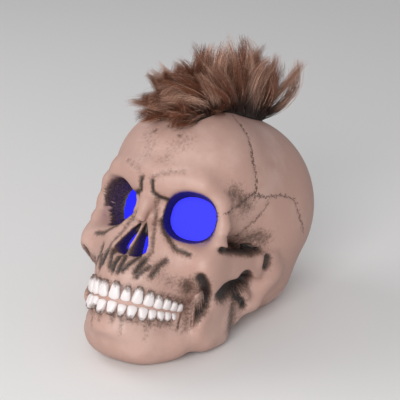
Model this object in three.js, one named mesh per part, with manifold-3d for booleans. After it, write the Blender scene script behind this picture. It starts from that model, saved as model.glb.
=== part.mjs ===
// Light-up skull decoration: a hollow cast skull that lies tilted back on its jaw and the back
// of its head, with blue lit sockets and nose, a strip of faux fur along the crown, and three
// small cells, a slide switch and lamps inside. Millimetres, +Z up, the face towards -Y.

import * as THREE from 'three';
import { mergeVertices } from 'three/addons/utils/BufferGeometryUtils.js';
import Module from 'manifold-3d';

const wasm = await Module();
wasm.setup();

// Head
const headWidth = 145;
const headLength = 190;
const headHeight = 150;
const headTiltDegrees = 25.4;
const earHeightShare = 0.38;
const earHeight = headHeight * earHeightShare;
const wall = 3.2;
const floorThick = 5;

// How softly two forms of the sculpture run into each other
const broadBlend = 32;
const baseBlend = 18;
const bodyBlend = 12;
const boneBlend = 8;
const sharpBlend = 6;
const edgeBlend = 2;

// Eye sockets
const socketWidth = 40;
const socketHeight = 37.6;
const socketSpacing = 62;
const socketTurnDegrees = 21;
const socketDepth = 17;
const socketRimLead = 6;
const socketTaperShare = 0.115;
const socketSquareness = 2.3;

// Nose opening
const noseHeight = 28;
const noseWidth = 27;
const septumThick = 2.6;

// Tooth rows
const toothArchWidth = 63;
const toothArchDepth = 46.5;
const upperToothLength = 11;
const lowerToothLength = 9.5;
const toothSwell = 4.6;
const biteGap = 1.6;

// Lenses, lamps and their holders
const lensThick = 2.4;
const lensLip = 1.2;
const cupWall = 2.2;
const noseLensLip = 1.5;
const noseFrameLip = 4.5;
const holderFlange = 1.6;
const holderWall = 1.5;
const holderDepth = 20;
const holderNeck = 4;
const noseHolderWidth = 17;
const noseHolderDepth = 11;
const lampDiameter = 5;
const lampLength = 8.6;
const lampFlange = 0.5;
const lampFlangeThick = 1;
const lampStick = 1.2;

// Cells and base plate
const cellDiameter = 10.5;
const cellLength = 44.5;
const cellTipDiameter = 3.8;
const cellTipLength = 0.8;
const cellCount = 3;
const cellGap = 0.3;
const springRoom = 4.7;
const boxWall = 1.4;
const plateThick = 5;
const plateLift = 0.4;
const flangeWidth = 5;
const plateRim = 0.8;
const collarHeight = 8.5;
const rimWidth = 4;
const bossHeight = 7;
const bossDiameter = 6;
const screwDiameter = 2.2;
const screwHeadDiameter = 5;
const screwHeadThick = 1.7;

// Battery door
const doorThick = 2.4;
const doorTravel = 8;
const doorOverlap = 1.2;
const tongueWidth = 0.8;
const tongueThick = 0.9;
const gripRib = 0.4;

// Switch and circuit board
const switchLength = 16;
const switchWidth = 6.5;
const switchHeight = 5;
const switchTravel = 3;
const knobLength = 4.6;
const knobWidth = 2.6;
const knobPocket = 2.2;
const boardLength = 28;
const boardWidth = 8;
const boardThick = 1.6;
const postDiameter = 4;
const resistorDiameter = 2;
const resistorLength = 5;
const chipDiameter = 5;
const chipHeight = 1.2;
const contactThick = 0.5;
const springWire = 0.7;
const springTurnCount = 3;
const leadDiameter = 1.8;

// Fur mohawk
const furWidth = 36;
const furFrontDegrees = 47;
const furBackDegrees = 27;
const backingThick = 1.6;
const pileSplay = 12;

// Clearance and the overrun of cuts
const clearance = 0.3;
const overrun = 2;

const radians = THREE.MathUtils.degToRad;

// A spot, bead or set of radii given in shares of the head's width, length and height.
const spot = ([x, y, z]) => [x * headWidth, y * headLength, z * headHeight];
const bead = ([x, y, z, r]) => [...spot([x, y, z]), r * headWidth];
const beads = (shares) => shares.map(bead);

// Where two forms meet, their surfaces run together over the given reach.
function joinSoft(a, b, reach) {
  const h = Math.max(reach - Math.abs(a - b), 0) / reach;
  return Math.min(a, b) - (h * h * reach) / 4;
}
const cutSoft = (a, b, reach) => -joinSoft(-a, -b, reach);

// Distances to the forms, negative inside. Points are in the head's own frame: x to its left,
// y to its back, z up, from midway between the ears.
function eggDistance(x, y, z, [cx, cy, cz], [rx, ry, rz]) {
  const u = (x - cx) / rx;
  const v = (y - cy) / ry;
  const w = (z - cz) / rz;
  const near = Math.hypot(u, v, w);
  const slope = Math.hypot(u / rx, v / ry, w / rz);
  return slope > 0 ? (near * (near - 1)) / slope : -Math.min(rx, ry, rz);
}

function boneDistance(x, y, z, a, b) {
  const dx = b[0] - a[0];
  const dy = b[1] - a[1];
  const dz = b[2] - a[2];
  const along = ((x - a[0]) * dx + (y - a[1]) * dy + (z - a[2]) * dz) / (dx * dx + dy * dy + dz * dz);
  const t = Math.min(Math.max(along, 0), 1);
  const off = Math.hypot(x - a[0] - t * dx, y - a[1] - t * dy, z - a[2] - t * dz);
  return off - (a[3] + (b[3] - a[3]) * t);
}

function ridgeDistance(x, y, z, points, reach) {
  let d = boneDistance(x, y, z, points[0], points[1]);
  for (let i = 1; i < points.length - 1; i += 1) {
    d = joinSoft(d, boneDistance(x, y, z, points[i], points[i + 1]), reach);
  }
  return d;
}

// Turns a point about a centre, first by yaw about z, then by pitch about x.
function turned(x, y, z, [cx, cy, cz], yaw, pitch) {
  const qx = x - cx;
  const qy = y - cy;
  const qz = z - cz;
  const sx = qx * Math.cos(yaw) + qy * Math.sin(yaw);
  const sy = -qx * Math.sin(yaw) + qy * Math.cos(yaw);
  return [sx, sy * Math.cos(pitch) + qz * Math.sin(pitch), -sy * Math.sin(pitch) + qz * Math.cos(pitch)];
}

function slabDistance(x, y, z, slab) {
  const q = turned(x, y, z, slab.centre, slab.yaw, slab.pitch);
  const [a, b, c] = slab.radii;
  const e = slab.squareness;
  const sum = Math.abs(q[0] / a) ** e + Math.abs(q[1] / b) ** e + Math.abs(q[2] / c) ** e;
  return (sum ** (1 / e) - 1) * Math.min(a, b, c);
}

const slabOf = (centre, radii, squareness, yaw, pitch) => ({
  centre: spot(centre),
  radii: spot(radii),
  squareness,
  yaw: radians(yaw),
  pitch: radians(pitch),
});

// Braincase: back, forehead, floor and the knobs behind the ears
const backShares = { centre: [0, 0.153, 0.247], radii: [0.5, 0.368, 0.493] };
const foreheadShares = { centre: [0, -0.189, 0.333], radii: [0.414, 0.295, 0.373] };
const underShares = { centre: [0, 0.179, -0.08], radii: [0.414, 0.326, 0.26] };
const earKnob = beads([
  [0.393, 0.068, -0.053, 0.083],
  [0.352, 0.042, -0.22, 0.055],
  [0.317, -0.032, -0.293, 0.055],
]);
const templeShares = { centre: [0.545, -0.2, 0.107], radii: [0.138, 0.137, 0.187] };

function braincase(x, y, z) {
  let d = eggDistance(x, y, z, spot(backShares.centre), spot(backShares.radii));
  d = joinSoft(d, eggDistance(x, y, z, spot(foreheadShares.centre), spot(foreheadShares.radii)), broadBlend);
  d = joinSoft(d, eggDistance(x, y, z, spot(underShares.centre), spot(underShares.radii)), baseBlend);
  d = joinSoft(d, ridgeDistance(x, y, z, earKnob, sharpBlend), boneBlend);
  return cutSoft(d, -eggDistance(x, y, z, spot(templeShares.centre), spot(templeShares.radii)), bodyBlend);
}

// Face: cheeks, brow, socket rims, cheekbones and arches, nose bones and upper jaw
const faceShares = { centre: [0, -0.305, -0.093], radii: [0.317, 0.189, 0.267] };
const brow = beads([
  [0.055, -0.458, 0.247, 0.034],
  [0.152, -0.442, 0.287, 0.034],
  [0.255, -0.416, 0.28, 0.034],
  [0.334, -0.363, 0.213, 0.034],
]);
const browKnotShares = { centre: [0, -0.453, 0.28], radii: [0.11, 0.058, 0.073] };
const outerRim = beads([
  [0.334, -0.363, 0.213, 0.034],
  [0.366, -0.347, 0.113, 0.031],
  [0.366, -0.353, 0.013, 0.034],
  [0.331, -0.368, -0.073, 0.055],
]);
const lowerRim = beads([
  [0.324, -0.374, -0.1, 0.062],
  [0.248, -0.411, -0.08, 0.048],
  [0.166, -0.442, -0.053, 0.038],
]);
const innerRim = beads([
  [0.166, -0.442, -0.053, 0.038],
  [0.097, -0.442, 0.013, 0.031],
  [0.062, -0.421, 0.093, 0.024],
  [0.048, -0.421, 0.173, 0.024],
]);
const cheekbone = slabOf([0.321, -0.347, -0.12], [0.062, 0.068, 0.093], 2.3, -20, 0);
const cheekArch = slabOf([0.397, -0.189, -0.06], [0.034, 0.189, 0.067], 2.6, -5, 8);
const archRoot = beads([[0.407, -0.063, -0.013, 0.041], [0.421, 0.032, 0.02, 0.034]]);
const noseBones = beads([[0, -0.447, 0.213, 0.034], [0, -0.479, 0.147, 0.03], [0, -0.5, 0.06, 0.026]]);
const upperJawShares = { centre: [0, -0.379, -0.187], radii: [0.248, 0.195, 0.16] };
const noseSpine = beads([[0, -0.495, -0.127, 0.021], [0, -0.547, -0.12, 0.011]]);

function face(x, y, z, head) {
  let d = joinSoft(head, eggDistance(x, y, z, spot(faceShares.centre), spot(faceShares.radii)), bodyBlend);
  d = joinSoft(d, ridgeDistance(x, y, z, brow, sharpBlend), baseBlend);
  d = joinSoft(d, eggDistance(x, y, z, spot(browKnotShares.centre), spot(browKnotShares.radii)), bodyBlend);
  d = joinSoft(d, ridgeDistance(x, y, z, outerRim, sharpBlend), boneBlend);
  d = joinSoft(d, ridgeDistance(x, y, z, [...lowerRim, ...innerRim.slice(1)], sharpBlend), boneBlend);
  d = joinSoft(d, slabDistance(x, y, z, cheekbone), boneBlend);
  d = joinSoft(d, slabDistance(x, y, z, cheekArch), boneBlend);
  d = joinSoft(d, ridgeDistance(x, y, z, archRoot, sharpBlend), sharpBlend);
  d = joinSoft(d, ridgeDistance(x, y, z, noseBones, sharpBlend), sharpBlend);
  const upperJaw = eggDistance(x, y, z, spot(upperJawShares.centre), spot(upperJawShares.radii));
  return joinSoft(d, upperJaw, bodyBlend);
}

// Tooth arch seen from above: a squarish half oval, front and sides
const archCentreShare = -0.347;
const archSquareness = 2.2;
const archBackShare = -0.221;
const upperRowShares = { height: -0.28, reach: 0.093 };
const lowerRowShares = { height: -0.44, reach: 0.093, inset: 0.97 };

function rowDistance(x, y, z, row) {
  const inset = row.inset || 1;
  const a = (toothArchWidth / 2) * inset;
  const b = toothArchDepth * inset;
  const across = Math.abs(x / a) ** archSquareness;
  const along = Math.abs((y - archCentreShare * headLength) / b) ** archSquareness;
  const side = ((across + along) ** (1 / archSquareness) - 1) * a;
  const band = Math.abs(z - row.height * headHeight) - row.reach * headHeight;
  return cutSoft(cutSoft(side, band, boneBlend), y - archBackShare * headLength, sharpBlend);
}

// Lower jaw: body and chin, the broad branch up to the ear, and the filled underside
const jawBody = beads([
  [0, -0.437, -0.527, 0.093],
  [0.11, -0.411, -0.52, 0.086],
  [0.207, -0.326, -0.48, 0.083],
]);
const jawSide = beads([
  [0.276, -0.221, -0.427, 0.069],
  [0.303, -0.126, -0.387, 0.062],
  [0.317, -0.068, -0.347, 0.055],
]);
const jawFillShares = { centre: [0, -0.337, -0.507], radii: [0.248, 0.2, 0.147] };
const jawBranch = slabOf([0.334, -0.195, -0.287], [0.041, 0.095, 0.187], 2.8, 4, 14);
const jawCorner = slabOf([0.303, -0.253, -0.4], [0.041, 0.095, 0.06], 2.4, 20, -20);
const jawHinge = beads([
  [0.338, -0.126, -0.333, 0.048],
  [0.372, -0.074, -0.18, 0.041],
  [0.379, -0.047, -0.093, 0.041],
]);
const notchShares = { centre: [0.407, -0.126, -0.173], radii: [0.048, 0.137, 0.04] };
const notchPitchDegrees = 20;
const undersideShares = { centre: [0, -0.137, -0.32], radii: [0.255, 0.263, 0.24] };

function jaw(x, y, z, head) {
  let d = joinSoft(head, ridgeDistance(x, y, z, [...jawBody, ...jawSide], bodyBlend), boneBlend);
  d = joinSoft(d, eggDistance(x, y, z, spot(jawFillShares.centre), spot(jawFillShares.radii)), boneBlend);
  let branch = joinSoft(slabDistance(x, y, z, jawBranch), slabDistance(x, y, z, jawCorner), boneBlend);
  branch = joinSoft(branch, ridgeDistance(x, y, z, jawHinge, sharpBlend), boneBlend);
  d = joinSoft(d, branch, sharpBlend);
  d = joinSoft(d, rowDistance(x, y, z, lowerRowShares), sharpBlend);
  const notch = turned(x, y, z, spot(notchShares.centre), 0, radians(notchPitchDegrees));
  d = cutSoft(d, -eggDistance(...notch, [0, 0, 0], spot(notchShares.radii)), edgeBlend);
  const underside = eggDistance(x, y, z, spot(undersideShares.centre), spot(undersideShares.radii));
  return joinSoft(d, underside, boneBlend);
}

// The whole head without its openings
function headDistance(px, y, z) {
  const x = Math.abs(px);
  let d = face(x, y, z, braincase(x, y, z));
  d = joinSoft(d, rowDistance(x, y, z, upperRowShares), boneBlend);
  d = jaw(x, y, z, d);
  return joinSoft(d, ridgeDistance(x, y, z, noseSpine, sharpBlend), edgeBlend);
}

// A socket narrows as it goes in
const socketCentreShares = [socketSpacing / 2 / headWidth, -0.405, 0.117];
const socketTurn = radians(socketTurnDegrees);

function socketSize(depth) {
  const into = Math.max(depth + socketRimLead, 0);
  const narrow = 1 - (socketTaperShare * into) / (socketDepth + socketRimLead);
  return { across: (socketWidth / 2) * narrow, up: (socketHeight / 2) * narrow };
}

// A point in a socket: out sideways, depth inwards, up
function socketPoint(side, out, depth, up) {
  const [cx, cy, cz] = spot(socketCentreShares);
  const x = cx + out * Math.cos(socketTurn) - depth * Math.sin(socketTurn);
  const y = cy + out * Math.sin(socketTurn) + depth * Math.cos(socketTurn);
  return new THREE.Vector3(side * x, y, cz + up);
}

function socketRing(side, depth, grow, steps, sizeDepth = depth) {
  const { across, up } = socketSize(sizeDepth);
  const power = 2 / socketSquareness;
  const round = (value) => Math.sign(value) * Math.abs(value) ** power;
  return Array.from({ length: steps }, (_, i) => {
    const turn = (2 * Math.PI * i) / steps;
    const out = (across + grow) * round(Math.cos(turn));
    return socketPoint(side, out, depth, (up + grow) * round(Math.sin(turn)));
  });
}

function socketDistance(px, y, z) {
  const [u, depth, w] = turned(Math.abs(px), y, z, spot(socketCentreShares), socketTurn, 0);
  const { across, up } = socketSize(depth);
  const e = socketSquareness;
  const sum = Math.abs(u / across) ** e + Math.abs(w / up) ** e;
  const side = (sum ** (1 / e) - 1) * across;
  return cutSoft(side, depth - cupDepth, sharpBlend);
}

// Depths inside a socket, from its rim plane to the back of its cup
const lensBack = socketDepth + clearance + lensThick;
const flangeFront = lensBack + clearance;
const cupDepth = flangeFront + holderFlange;

// Nose outline: half widths up the opening, wide near the foot and closing to a point
const noseShares = [
  [-0.53, 0.3],
  [-0.37, 0.5],
  [-0.13, 0.43],
  [0.2, 0.24],
  [0.47, 0.04],
];
const noseCentreShares = [0, -0.463, -0.037];
const noseWindowTopShare = 0.12;

function noseHalf(up) {
  const share = up / noseHeight;
  const last = noseShares.length - 1;
  if (share <= noseShares[0][0]) return noseShares[0][1] * noseWidth;
  if (share >= noseShares[last][0]) return noseShares[last][1] * noseWidth;
  const i = noseShares.findIndex(([at]) => at > share);
  const [a, wa] = noseShares[i - 1];
  const [b, wb] = noseShares[i];
  return (wa + ((wb - wa) * (share - a)) / (b - a)) * noseWidth;
}

// The outline grown by a margin, cut level at a share of its height
function noseOutline(grow, topShare) {
  const foot = noseShares[0][0] * noseHeight - grow;
  const top = topShare * noseHeight + grow;
  const inner = noseShares.map(([at]) => at * noseHeight).filter((up) => up > foot && up < top);
  const right = [foot, ...inner, top].map((up) => [noseHalf(up) + grow, up]);
  return [...right, ...right.map(([half, up]) => [-half, up]).reverse()];
}

// Geometry helpers
const solidFrom = (geometry) => {
  const bare = geometry.index ? geometry.clone() : mergeVertices(geometry);
  ['normal', 'uv'].filter((name) => bare.getAttribute(name)).forEach((name) => bare.deleteAttribute(name));
  const merged = mergeVertices(bare);
  const mesh = new wasm.Mesh({
    numProp: 3,
    vertProperties: new Float32Array(merged.getAttribute('position').array),
    triVerts: new Uint32Array(merged.index.array),
  });
  return new wasm.Manifold(mesh);
};

function geometryFrom(solid) {
  const { numProp, vertProperties, triVerts } = solid.getMesh();
  const geometry = new THREE.BufferGeometry();
  const places = new Float32Array((vertProperties.length / numProp) * 3);
  for (let i = 0; i < places.length / 3; i += 1) {
    for (let k = 0; k < 3; k += 1) places[i * 3 + k] = vertProperties[i * numProp + k];
  }
  geometry.setAttribute('position', new THREE.BufferAttribute(places, 3));
  geometry.setIndex(new THREE.BufferAttribute(new Uint32Array(triVerts), 1));
  geometry.computeVertexNormals();
  return geometry;
}

// Faces turned outwards, whichever way the rings were listed
function facingOut(points, faces) {
  let volume = 0;
  for (const [a, b, c] of faces) {
    volume += points[a].dot(new THREE.Vector3().crossVectors(points[b], points[c]));
  }
  const listed = volume < 0 ? faces.map(([a, b, c]) => [a, c, b]) : faces;
  const geometry = new THREE.BufferGeometry().setFromPoints(points);
  geometry.setIndex(listed.flat());
  return geometry;
}

// A closed skin over rings of points, each end drawn to a point
function skinOver(rings, first, last) {
  const count = rings[0].length;
  const points = [first, ...rings.flat(), last];
  const faces = [];
  const at = (ring, i) => 1 + ring * count + (i % count);
  for (let i = 0; i < count; i += 1) {
    faces.push([0, at(0, i + 1), at(0, i)]);
    for (let ring = 0; ring < rings.length - 1; ring += 1) {
      faces.push([at(ring, i), at(ring, i + 1), at(ring + 1, i)]);
      faces.push([at(ring, i + 1), at(ring + 1, i + 1), at(ring + 1, i)]);
    }
    faces.push([points.length - 1, at(rings.length - 1, i), at(rings.length - 1, i + 1)]);
  }
  return facingOut(points, faces);
}

const middleOf = (ring) =>
  ring.reduce((sum, point) => sum.add(point), new THREE.Vector3()).divideScalar(ring.length);
const loft = (rings) => skinOver(rings, middleOf(rings[0]), middleOf(rings[rings.length - 1]));

const box = (x, y, z, cx, cy, cz) => new THREE.BoxGeometry(x, y, z).translate(cx, cy, cz);
const boxBetween = ([x0, y0, z0], [x1, y1, z1]) =>
  box(x1 - x0, y1 - y0, z1 - z0, (x0 + x1) / 2, (y0 + y1) / 2, (z0 + z1) / 2);

// A round bar standing on height z0
const bar = (radius, z0, z1, x, y, sides = 24) =>
  new THREE.CylinderGeometry(radius, radius, z1 - z0, sides)
    .rotateX(Math.PI / 2)
    .translate(x, y, (z0 + z1) / 2);

// A turned piece: radius and height pairs that close on themselves or start and end on the axis
const turnedPiece = (pairs, sides) =>
  new THREE.LatheGeometry(
    pairs.map(([r, h]) => new THREE.Vector2(r, h)),
    sides,
  ).rotateX(Math.PI / 2);

const joinAll = (solids) => solids.reduce((sum, solid) => sum.add(solid));
const cutAll = (solid, cuts) => cuts.reduce((rest, cut) => rest.subtract(cut), solid);

// The head's frame set on the ground: tilted back about the ear axis and raised
const headPlace = new THREE.Matrix4()
  .makeTranslation(0, 0, earHeight)
  .multiply(new THREE.Matrix4().makeRotationX(-radians(headTiltDegrees)));
const onHead = (geometry) => geometry.clone().applyMatrix4(headPlace);

// A plate of the nose outline between two depths, in the head's frame
function nosePlate(outline, front, back) {
  const [, , cz] = spot(noseCentreShares);
  const shape = new THREE.Shape(outline.map(([x, up]) => new THREE.Vector2(x, up)));
  const plate = new THREE.ExtrudeGeometry(shape, { depth: back - front, bevelEnabled: false });
  return plate.rotateX(Math.PI / 2).translate(0, back, cz);
}

// Sight lines from inside the head: columns run round it from the face, rows from the crown to
// the underside, both crowded towards the face.
const heartShares = [0, -0.053, 0.133];
const heart = new THREE.Vector3(...spot(heartShares));
const columnCrowdShare = 0.45;
const rowCrowdShare = 0.2;

function sightLine(u, v) {
  const round = 2 * Math.PI * u - columnCrowdShare * Math.sin(2 * Math.PI * u);
  const down = Math.PI * v + rowCrowdShare * Math.sin(2 * Math.PI * v);
  const out = Math.sin(down);
  return new THREE.Vector3(Math.sin(round) * out, -Math.cos(round) * out, Math.cos(down));
}

const skinToleranceShare = 0.006;
const skinTolerance = skinToleranceShare * wall;
const stepShare = 0.8;
const longestStepCount = 120;

// Distance along a sight line to the outside of the head
function outsideReach(line) {
  let reach = headLength;
  for (let step = 0; step < longestStepCount; step += 1) {
    const p = heart.clone().addScaledVector(line, reach);
    const d = headDistance(p.x, p.y, p.z);
    if (d < skinTolerance) break;
    reach -= d * stepShare;
  }
  return reach;
}

// Distance along a sight line to the hollow's wall
function hollowReach(line) {
  let reach = 0;
  for (let step = 0; step < longestStepCount; step += 1) {
    const p = heart.clone().addScaledVector(line, reach);
    const body = Math.max(headDistance(p.x, p.y, p.z), -socketDistance(p.x, p.y, p.z));
    const spare = -wall - body;
    if (spare < skinTolerance) break;
    reach += spare * stepShare;
  }
  return reach;
}

const lineStart = 0.5;

function radialSkin(columns, rows, reachOf) {
  const ring = (row) =>
    Array.from({ length: columns }, (_, column) => {
      const u = column / columns;
      const v = row / rows;
      return heart.clone().addScaledVector(sightLine(u, v), reachOf(u, v));
    });
  const rings = Array.from({ length: rows - 1 }, (_, i) => ring(i + 1));
  const crown = heart.clone().addScaledVector(sightLine(0, 0), reachOf(0, 0));
  const under = heart.clone().addScaledVector(sightLine(0, 1), reachOf(0, 1));
  return skinOver(rings, crown, under);
}

const outerColumnCount = 72;
const outerRowCount = 36;
const hollowColumnCount = 28;
const hollowRowCount = 16;

// The hollow's wall is the nearest of several lines around each point, so that no facet of it
// comes through a narrow place.
function hollowSafeReach(u, v) {
  const du = lineStart / hollowColumnCount;
  const dv = lineStart / hollowRowCount;
  const tries = [
    [0, 0],
    [du, 0],
    [-du, 0],
    [0, dv],
    [0, -dv],
  ];
  return Math.min(...tries.map(([a, b]) => hollowReach(sightLine(u + a, Math.min(Math.max(v + b, 0), 1)))));
}

// Base layout: the cells lie side by side across the head
const baseCentreShare = 0.189;
const baseY = baseCentreShare * headLength;
const boxInnerX = cellLength + springRoom + contactThick * 2;
const boxInnerY = cellCount * cellDiameter + (cellCount + 1) * cellGap;
const boxOuterX = boxInnerX + 2 * boxWall;
const boxOuterY = boxInnerY + 2 * boxWall;
const doorX = boxInnerX + 2 * boxWall + 2 * doorOverlap;
const doorY = boxOuterY + doorOverlap;
const recessX = doorX + 2 * clearance;
const recessY = doorY + 2 * clearance + doorTravel;
const recessFront = baseY - recessY / 2;
const doorFront = recessFront + clearance;
const boxFront = doorFront + doorOverlap / 2;
const boxMidY = boxFront + boxOuterY / 2;
const openingRadius = Math.hypot(boxOuterX / 2, baseY - boxFront) + plateRim;
const plateRadius = openingRadius + flangeWidth;
const screwRadius = openingRadius + plateRim * 1.5;
const plateTop = plateLift + plateThick;
const recessTop = plateLift + doorThick + clearance;
const doorBottom = plateLift + clearance / 3;
const tongueBottom = doorBottom + (doorThick - tongueThick) / 2;
const boxTop = recessTop + cellDiameter + 2 * cellGap + boxWall;
const cellAxisZ = recessTop + cellGap + cellDiameter / 2;
const switchY = recessFront - clearance - switchWidth / 2 - plateRim / 2;
const boardBottom = plateTop + clearance + switchHeight + clearance;
const boardTop = boardBottom + boardThick;
const screwTurns = [1, 3, 5, 7].map((eighth) => (eighth * Math.PI) / 4);
const screwPlaces = screwTurns.map((turn) => [
  screwRadius * Math.cos(turn),
  baseY + screwRadius * Math.sin(turn),
]);

// The skull casting
const toothWidthShares = [0.0586, 0.0483, 0.0517, 0.0483, 0.0483, 0.0655, 0.0621, 0.055];
const toothTaperShare = 0.72;
const toothSideCount = 6;

// A tooth: a rounded peg that is widest near its biting edge, set on the arch and leaning with it
function toothGeometry(width, length, upper) {
  const rows = [0, 0.7, 1];
  const widths = [toothTaperShare, 1, 0.75];
  const rings = rows.map((share, row) =>
    Array.from({ length: toothSideCount }, (_, i) => {
      const turn = (2 * Math.PI * (i + lineStart)) / toothSideCount;
      const across = (width / 2) * widths[row] * Math.cos(turn);
      const deep = (toothSwell / 2) * (0.6 + 0.4 * widths[row]) * Math.sin(turn);
      return new THREE.Vector3(across, deep, (upper ? -1 : 1) * length * share);
    }),
  );
  return loft(rings);
}

// The arch's point and heading a given way round from its middle, found by walking along it
function archWalk(inset, distance) {
  const a = (toothArchWidth / 2) * inset;
  const b = toothArchDepth * inset;
  const power = 2 / archSquareness;
  const centreY = archCentreShare * headLength;
  const point = (turn) => [a * Math.sin(turn) ** power, centreY - b * Math.cos(turn) ** power];
  const steps = 240;
  let walked = 0;
  let last = point(0);
  for (let i = 1; i < steps; i += 1) {
    const next = point((Math.PI / 2) * (i / steps));
    const piece = Math.hypot(next[0] - last[0], next[1] - last[1]);
    if (walked + piece >= distance) {
      return { x: next[0], y: next[1], heading: Math.atan2(next[1] - last[1], next[0] - last[0]) };
    }
    walked += piece;
    last = next;
  }
  return { x: last[0], y: last[1], heading: Math.PI / 2 };
}

const biteHeightShare = -0.353;
const toothLengthShares = [1, 0.92, 1, 0.88, 0.84, 0.8, 0.76, 0.7];
const lowerWidthShare = 0.92;

function toothRow(upper) {
  const row = upper ? upperRowShares : lowerRowShares;
  const length = upper ? upperToothLength : lowerToothLength;
  const teeth = [];
  for (const side of [1, -1]) {
    let walked = 0;
    toothWidthShares.forEach((share, i) => {
      const width = share * headWidth * (upper ? 1 : lowerWidthShare);
      const { x, y, heading } = archWalk(row.inset || 1, walked + width / 2);
      walked += width;
      const long = length * toothLengthShares[i];
      const bite = biteHeightShare * headHeight + (upper ? biteGap / 2 : -biteGap / 2);
      const root = bite + (upper ? long : -long);
      const tooth = toothGeometry(width * 0.97, long, upper).rotateZ(heading).translate(x, y, root);
      teeth.push(side > 0 ? tooth : mirrored(tooth));
    });
  }
  return teeth;
}

function mirrored(geometry) {
  const places = geometry.getAttribute('position');
  const points = Array.from(
    { length: places.count },
    (_, i) => new THREE.Vector3(-places.getX(i), places.getY(i), places.getZ(i)),
  );
  const index = Array.from(geometry.index.array);
  const faces = Array.from({ length: index.length / 3 }, (_, i) => index.slice(i * 3, i * 3 + 3));
  return facingOut(points, faces);
}

// Solid block behind each socket, later bored out to leave the cup's wall
function cupBlock(side) {
  const grow = lensLip + clearance + cupWall;
  const steps = 26;
  const outside = -socketRimLead * overrun * 3;
  const depths = [outside, socketDepth, cupDepth];
  const rings = depths.map((depth) => socketRing(side, depth, grow, steps, Math.min(depth, socketDepth)));
  return solidFrom(onHead(loft(rings)));
}

function socketBore(side) {
  const steps = 26;
  const outside = -socketRimLead * overrun * 3;
  const depths = [outside, -socketRimLead, 0, socketDepth / 2, socketDepth, socketDepth + clearance];
  return solidFrom(onHead(loft(depths.map((depth) => socketRing(side, depth, 0, steps)))));
}

function lensPocket(side) {
  const steps = 26;
  const depths = [socketDepth, cupDepth + wall * overrun * 1.5];
  const rings = depths.map((depth) => socketRing(side, depth, lensLip + clearance, steps, socketDepth));
  return solidFrom(onHead(loft(rings)));
}

// Places along the nose opening, from the face inwards
const noseMidY = noseCentreShares[1] * headLength;
const noseFrontY = noseMidY - headLength / 4;
const noseBackY = noseMidY + overrun;
const noseLensFront = noseBackY + wall;
const noseFrameBack = noseLensFront + clearance + lensThick;
const noseTopShare = noseShares[noseShares.length - 1][0];

// The wall between the nostrils, seen from the side: depth and height shares of the opening
const septumShares = [
  [-0.1, 0.45],
  [-0.35, 0.1],
  [-0.62, -0.45],
  [0, -0.58],
  [0, 0.45],
];

function septum() {
  const [, , cz] = spot(noseCentreShares);
  const outline = septumShares.map(([ahead, up]) => new THREE.Vector2(ahead * noseHeight, up * noseHeight));
  const plate = new THREE.ExtrudeGeometry(new THREE.Shape(outline), {
    depth: septumThick,
    bevelEnabled: false,
  });
  const turnedIn = new THREE.Matrix4().makeBasis(
    new THREE.Vector3(0, 1, 0),
    new THREE.Vector3(0, 0, 1),
    new THREE.Vector3(1, 0, 0),
  );
  return plate.applyMatrix4(turnedIn).translate(-septumThick / 2, noseLensFront, cz);
}

function skullShell() {
  const wide = headLength;
  const solidSkin = (columns, rows, reachOf) => solidFrom(onHead(radialSkin(columns, rows, reachOf)));
  const below = (top) => solidFrom(boxBetween([-wide, -wide, -wide], [wide, wide, top]));
  const skin = solidSkin(outerColumnCount, outerRowCount, (u, v) => outsideReach(sightLine(u, v)));
  const outer = skin.subtract(below(0));
  const hollow = solidSkin(hollowColumnCount, hollowRowCount, hollowSafeReach).subtract(below(floorThick));
  const noseBlock = solidFrom(
    onHead(nosePlate(noseOutline(noseFrameLip, noseTopShare), noseFrontY, noseFrameBack)),
  );
  const collar = solidFrom(bar(plateRadius + rimWidth, 0, collarHeight, 0, baseY, 48));
  const added = joinAll([cupBlock(1), cupBlock(-1), noseBlock, collar]).intersect(outer);
  const bosses = screwPlaces.map(([x, y]) =>
    solidFrom(bar(bossDiameter / 2, plateTop + clearance, collarHeight + bossHeight, x, y, 16)),
  );
  const opening = solidFrom(bar(openingRadius, -overrun, collarHeight + overrun, 0, baseY, 48));
  const rebate = solidFrom(bar(plateRadius + clearance, -overrun, plateTop + clearance, 0, baseY, 48));
  const pilots = screwPlaces.map(([x, y]) =>
    solidFrom(bar(screwDiameter / 2 + clearance / 3, 0, collarHeight + bossHeight - overrun, x, y, 10)),
  );
  const noseRecess = solidFrom(onHead(nosePlate(noseOutline(0, noseTopShare), noseFrontY, noseBackY)));
  const noseWindow = solidFrom(
    onHead(nosePlate(noseOutline(-clearance, noseWindowTopShare), noseFrontY, noseFrameBack + overrun)),
  );
  const nosePocket = solidFrom(
    onHead(
      nosePlate(
        noseOutline(noseLensLip + clearance, noseWindowTopShare),
        noseLensFront,
        noseFrameBack + overrun,
      ),
    ),
  );
  const noseWay = aimed(
    bar(noseHolderWidth / 2 + clearance * 2, 0, leadLift * 2, 0, 0),
    stations.nose.place,
    stations.nose.inward,
  );
  const bores = [1, -1].flatMap((side) => [socketBore(side), lensPocket(side)]);
  const open = cutAll(outer.subtract(hollow).add(added), [opening]);
  const bossed = joinAll([open, ...bosses]);
  const bored = cutAll(bossed, [rebate, ...pilots, ...bores, noseRecess, noseWindow, nosePocket, noseWay]);
  const teeth = [true, false].flatMap((upper) => toothRow(upper)).map((tooth) => solidFrom(onHead(tooth)));
  const fitted = joinAll(teeth).subtract(hollow);
  return joinAll([bored, fitted, solidFrom(onHead(septum())).intersect(outer)]);
}

// Blue lenses
const lensFrontDepth = socketDepth + clearance;

function eyeLens(side) {
  const steps = 26;
  const depths = [lensFrontDepth, lensFrontDepth + lensThick];
  return solidFrom(onHead(loft(depths.map((depth) => socketRing(side, depth, lensLip, steps, socketDepth)))));
}

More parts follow.
